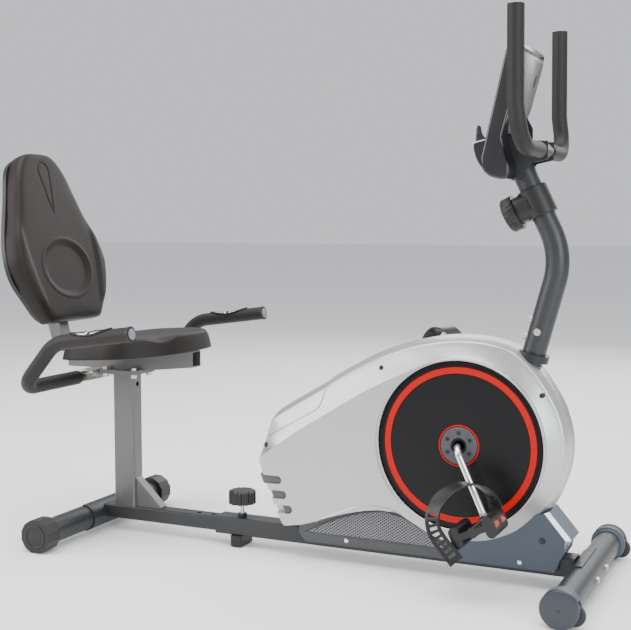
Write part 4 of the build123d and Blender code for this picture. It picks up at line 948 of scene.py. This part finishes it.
# Its two slots are near-black patches inset on the plate: painted shade in the openings.
form = bmesh.new()
for y, wide, tall, v in ((0.05, 0.005, 0.013, 0.128), (-0.05, 0.005, 0.013, 0.128)):
    ring = []
    for k in range(24):
        angle = 2 * pi * k / 24
        shift = tall - wide if sin(angle) >= 0 else wide - tall
        ring.append((y + wide * cos(angle), v + shift + wide * sin(angle)))
    form.faces.new([form.verts.new(plate_foot + Vector((0, a, 0)) + lean_back * b + back_normal * 0.0026)
                    for a, b in ring])
bmesh.ops.inset_region(form, faces=form.faces[:], thickness=0.0008, depth=-0.0002)
piece("console_slots", form, seam_black_and_painted_shade, "main_frame", slot="black_plastic")
form = bmesh.new()
face_top, face_foot = mid(171.5, 1124), mid(219, 912)
face_up = (face_top - face_foot).normalized()
face_out = Vector((-face_up.z, 0, face_up.x))
window = []
for cy, cv, start in ((0.062, 0.176, 0), (-0.062, 0.176, 90), (-0.062, 0.096, 180), (0.062, 0.096, 270)):
    window += [(cy + 0.008 * cos(radians(start + a)), cv + 0.008 * sin(radians(start + a)))
               for a in range(0, 91, 15)]
rings = [[form.verts.new(face_foot + Vector((0, y, 0)) + face_up * v + face_out * d) for y, v in window]
         for d in (-0.002, 0.0012)]
form.faces.new(rings[1])
between(form, rings)
bmesh.ops.bevel(form, geom=[e for e in form.edges if not e.is_boundary], offset=0.0006, segments=2,
                profile=0.5, affect="EDGES", material=-1)
lcd = coated("lcd_glass", (0.1, 0.125, 0.11), rough=(0.08, 0.14), coat=0.8, drift=0.04, grain_scale=2000,
             grain_depth=0.0)
piece("console_window", form, lcd, "main_frame", "console_display", slot="display")

# ---- Grips, sensors and end caps ---------------------------------------------------------------
# Each side grip has two chromed pulse plates on its top, inside a raised leaf-shaped rim, and a
# round end cap with a grey face.

grip_rear, grip_end = mid(1136, 508), mid(934.7, 535.6)
grip_dir = (grip_end - grip_rear).normalized()
grip_up = Vector((-grip_dir.z, 0, grip_dir.x))
grip_y = (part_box("side_grips")[1].y) - 0.017
cap_grey = coated("cap_grey", (0.17, 0.18, 0.2), rough=(0.4, 0.5), coat=0.2)
for side, word in ((-1, "right"), (1, "left")):
    middle = grip_end + Vector((0, side * grip_y, 0))
    across = Vector((0, 1, 0))
    form = bmesh.new()
    for low, high in ((0.056, 0.096), (0.104, 0.144)):
        rows = []
        for k in range(13):
            back = low + (high - low) * k / 12
            share = (back - 0.05) / 0.1
            reach = radians(52) * max(sin(pi * share), 0.0) ** 0.7
            rows.append([form.verts.new(middle - grip_dir * back + grip_up * cos(a) * 0.0183
                                        + across * sin(a) * 0.0183)
                         for a in [reach * (j / 8 - 1) for j in range(17)]])
        between(form, rows, closed=False)
    plates = piece(f"pulse_plates_{word}", form, chrome, "seat_frame",
                   *(["pulse_sensors"] if side < 0 else []), slot="chrome", crease=60)
    thick = plates.modifiers.new("thickness", "SOLIDIFY")
    thick.thickness = 0.0012
    form = bmesh.new()
    loop = []
    for k in range(96):
        turn = 2 * pi * k / 96
        share = 0.5 - 0.5 * cos(turn)
        reach = radians(60) * max(sin(pi * share), 0.0) ** 0.75 * (1 if sin(turn) >= 0 else -1)
        back = 0.044 + 0.112 * share
        out = 0.0186
        loop.append(middle - grip_dir * back + grip_up * cos(reach) * out + across * sin(reach) * out)
    rings = []
    for k, p in enumerate(loop):
        along = (loop[(k + 1) % 96] - loop[k - 1]).normalized()
        away = (p - middle) - grip_dir * (p - middle).dot(grip_dir)
        away.normalize()
        beside = along.cross(away).normalized()
        rings.append([form.verts.new(p + away * 0.0017 * sin(a) + beside * 0.0022 * cos(a))
                      for a in [2 * pi * j / 8 for j in range(8)]])
    between(form, rings + rings[:1])
    piece(f"pulse_rim_{word}", form, black_plastic, "seat_frame", slot="black_plastic", crease=80)
    form = bmesh.new()
    turned(form, [(0, 0.0024), (0.0115, 0.0024), (0.0122, 0.0018), (0.0122, 0.0)], grip_end
           + Vector((0, side * grip_y, 0)) + grip_dir * 0.0052, grip_dir, 40)
    piece(f"grip_end_face_{word}", form, cap_grey, "seat_frame", slot="dark_plastic")

# ---- Caps, wheels and tension housing ----------------------------------------------------------
# Round moulded caps push on to the stabiliser ends, the front ones round a small transport wheel.
# The tension dial stands on a moulded clamp round the mast.

cap_blue = coated("cap_satin", (0.02, 0.024, 0.034), rough=(0.34, 0.44), drift=0.12, coat=0.15)
cap_band = coated("cap_band", (0.075, 0.09, 0.11), rough=(0.38, 0.48), metallic=0.2)
cap_z = 0.0393
for side, word in ((-1, "right"), (1, "left")):
    form = bmesh.new()
    turned(form, [(0, 0.2688), (0.0028, 0.2688), (0.003, 0.2702), (0.034, 0.2702), (0.0375, 0.2692),
                  (0.0391, 0.2668), (0.0392, 0.2585), (0.0384, 0.2576), (0.0376, 0.2574)],
           (front_x, 0, cap_z), (0, side, 0), 72)
    piece(f"front_cap_face_{word}", form, cap_blue, "main_frame", *(["front_caps"] if side < 0 else []),
          slot="black_plastic")
    form = bmesh.new()
    turned(form, [(0.0372, 0.2578), (0.0378, 0.2568), (0.0378, 0.2432), (0.0388, 0.2424), (0.039, 0.2412),
                  (0.039, 0.2372), (0.0376, 0.2356), (0.034, 0.2348), (0.0336, 0.229), (0.0328, 0.2278),
                  (0.03, 0.2276)], (front_x, 0, cap_z), (0, side, 0), 72)
    band = piece(f"front_cap_band_{word}", form, cap_band, "main_frame", slot="dark_plastic")
    slot_form = bmesh.new()
    slot_rear, slot_front, slot_low, slot_high = front_x + 0.004, front_x + 0.06, -0.02, 0.056
    corners = [(slot_rear, slot_low), (slot_front, slot_low), (slot_front, slot_high), (slot_rear, slot_high)]
    rings = [[slot_form.verts.new((x, side * y, z)) for x, z in corners] for y in (0.2424, 0.2572)]
    slot_form.faces.new(rings[0])
    slot_form.faces.new(rings[1])
    between(slot_form, rings)
    cut_with(band, slot_form, f"wheel_slot_{word}")
    smooth_again(band, 35)
    # A near-black core inside the cap, seen through the wheel slot: painted shade.
    form = bmesh.new()
    turned(form, [(0.014, 0.2428), (0.028, 0.2432), (0.028, 0.2568), (0.014, 0.2572)],
           (front_x, 0, cap_z), (0, side, 0), 48)
    piece(f"front_cap_core_{word}", form, seam_black_and_painted_shade, "main_frame", slot="black_plastic")
    form = bmesh.new()
    wheel_low, wheel_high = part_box(f"wheel_{word}")
    hub = ((wheel_low.x + wheel_high.x) / 2, 0, (wheel_low.z + wheel_high.z) / 2)
    turned(form, [(0.006, 0.2448), (0.0135, 0.2446), (0.0142, 0.2455), (0.0195, 0.2456), (0.0216, 0.247),
                  (0.022, 0.249), (0.022, 0.253), (0.0216, 0.255), (0.0195, 0.2564), (0.0142, 0.2565),
                  (0.0135, 0.2574), (0.006, 0.2572)], hub, (0, side, 0), 48)
    piece(f"transport_wheel_{word}", form, rubber_black, f"wheel_{word}", f"wheel_{word}", slot="rubber")
    low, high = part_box(f"rear_cap_{word}")
    middle = ((low.x + high.x) / 2, 0, (low.z + high.z) / 2)
    end = max(abs(low.y), abs(high.y))
    form = bmesh.new()
    turned(form, [(0.0235, end - 0.0008), (0.0238, end + 0.0008), (0.0248, end + 0.0014),
                  (0.0272, end + 0.0014), (0.0282, end + 0.0008), (0.0285, end - 0.0008)],
           middle, (0, side, 0), 64)
    turned(form, [(0, end + 0.0005), (0.018, end + 0.0005), (0.0186, end - 0.0006)], middle, (0, side, 0), 48)
    piece(f"rear_cap_ring_{word}", form, black_plastic, f"rear_cap_{word}", slot="black_plastic")

mast_dir = Vector((-105.6, 0, 219.3)).normalized()
knob_dir = Vector((-mast_dir.z, 0, mast_dir.x))
housing = mid(119, 822)
form = bmesh.new()
turned(form, [(0.0256, -0.031), (0.0312, -0.0312), (0.033, -0.0295), (0.0332, -0.02), (0.0332, 0.02),
              (0.033, 0.0295), (0.0312, 0.0312), (0.0256, 0.031)], housing, mast_dir, 72)
piece("tension_clamp", form, black_plastic, "main_frame", "tension_housing", slot="black_plastic")
form = bmesh.new()
rings = []
for out, half_y, half_v, rounding in ((0.012, 0.0325, 0.0300, 3.2), (0.03, 0.0322, 0.0298, 3.2),
                                      (0.05, 0.0305, 0.0280, 3.0), (0.056, 0.0298, 0.0272, 3.0),
                                      (0.0575, 0.028, 0.0255, 2.8), (0.058, 0.02, 0.018, 2.6)):
    ring = []
    for k in range(40):
        a = 2 * pi * k / 40
        y = half_y * abs(cos(a)) ** (2 / rounding) * (1 if cos(a) >= 0 else -1)
        v = half_v * abs(sin(a)) ** (2 / rounding) * (1 if sin(a) >= 0 else -1)
        ring.append(form.verts.new(housing + knob_dir * out + Vector((0, y, 0)) + mast_dir * v))
    rings.append(ring)
between(form, rings)
form.faces.new(rings[-1])
piece("tension_neck", form, black_plastic, "main_frame", slot="black_plastic", crease=50)
form = bmesh.new()
knob_low, knob_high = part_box("tension_knob")
knob_centre = (knob_low + knob_high) / 2
rings = []
for out, radius, depth in ((-0.0135, 0.034, 0), (-0.0135, 0.0372, 0.3), (-0.0115, 0.038, 1),
                           (0.0085, 0.0376, 1), (0.0115, 0.036, 0.6), (0.0135, 0.033, 0.1),
                           (0.0138, 0.024, 0), (0.0122, 0.0225, 0), (0.0122, 0.004, 0)):
    ring = []
    for k in range(144):
        a = 2 * pi * k / 144
        flute = 0.0014 * depth * max(0.0, cos(a * 18)) ** 2
        ring.append(form.verts.new(knob_centre + knob_dir * out
                                   + Vector((0, 1, 0)) * (radius - flute) * cos(a)
                                   + mast_dir * (radius - flute) * sin(a)))
    rings.append(ring)
between(form, rings)
form.faces.new(rings[0])
form.faces.new(rings[-1])
piece("tension_dial", form, black_plastic, "tension_knob", "tension_knob", slot="black_plastic", crease=40)

# ---- Camera, floor and light ------------------------------------------------------------------
# A plain pale floor under soft studio light: a wide panel overhead, one on each side of the view.

camera_data = bpy.data.cameras.new("camera")
camera_data.sensor_width = 36.0
camera_data.lens = 66.01
camera = bpy.data.objects.new("camera", camera_data)
bpy.context.scene.collection.objects.link(camera)
camera.location = (front_x + 0.47366, -2.42572, 0.78825)
camera_turn, camera_dip = radians(24.544), radians(4.789)
look = Vector((-sin(camera_turn) * cos(camera_dip), cos(camera_turn) * cos(camera_dip), -sin(camera_dip)))
camera.rotation_mode = "QUATERNION"
camera.rotation_quaternion = look.to_track_quat("-Z", "Y")
bpy.context.scene.camera = camera

floor_mesh = bpy.data.meshes.new("floor")
floor_form = bmesh.new()
bmesh.ops.create_grid(floor_form, x_segments=8, y_segments=8, size=30)
floor_form.to_mesh(floor_mesh)
floor_form.free()
floor = bpy.data.objects.new("floor", floor_mesh)
bpy.context.scene.collection.objects.link(floor)
floor_paint = coated("floor_paint", (0.86, 0.86, 0.86), rough=(0.7, 0.8), drift=0.01, grain_scale=60,
                     grain_depth=0.0)
floor_mesh.materials.append(floor_paint)


def light_panel(name, place, aim, size, power, tint=(1, 1, 1)):
    data = bpy.data.lights.new(name, "AREA")
    data.shape = "RECTANGLE"
    data.size, data.size_y = size
    data.energy = power
    data.color = tint
    lamp = bpy.data.objects.new(name, data)
    lamp.location = place
    lamp.rotation_mode = "QUATERNION"
    lamp.rotation_quaternion = (Vector(aim) - Vector(place)).to_track_quat("-Z", "Y")
    bpy.context.scene.collection.objects.link(lamp)


light_panel("panel_over", (0, -0.6, 3.6), (0, 0, 0.4), (4.5, 3.0), 230)
light_panel("panel_left", (-3.4, -2.6, 2.0), (-0.2, 0, 0.5), (2.4, 2.4), 130)
light_panel("panel_right", (3.6, -2.2, 1.6), (0.2, 0, 0.5), (2.0, 2.6), 110, (0.9, 0.96, 1.0))
light_panel("panel_back", (0.5, 3.6, 2.4), (0, 0, 0.6), (4.0, 2.4), 90)
world = bpy.data.worlds.new("studio")
bpy.context.scene.world = world
world.use_nodes = True
world.node_tree.nodes["Background"].inputs["Color"].default_value = (0.95, 0.96, 1.0, 1)
world.node_tree.nodes["Background"].inputs["Strength"].default_value = 0.8
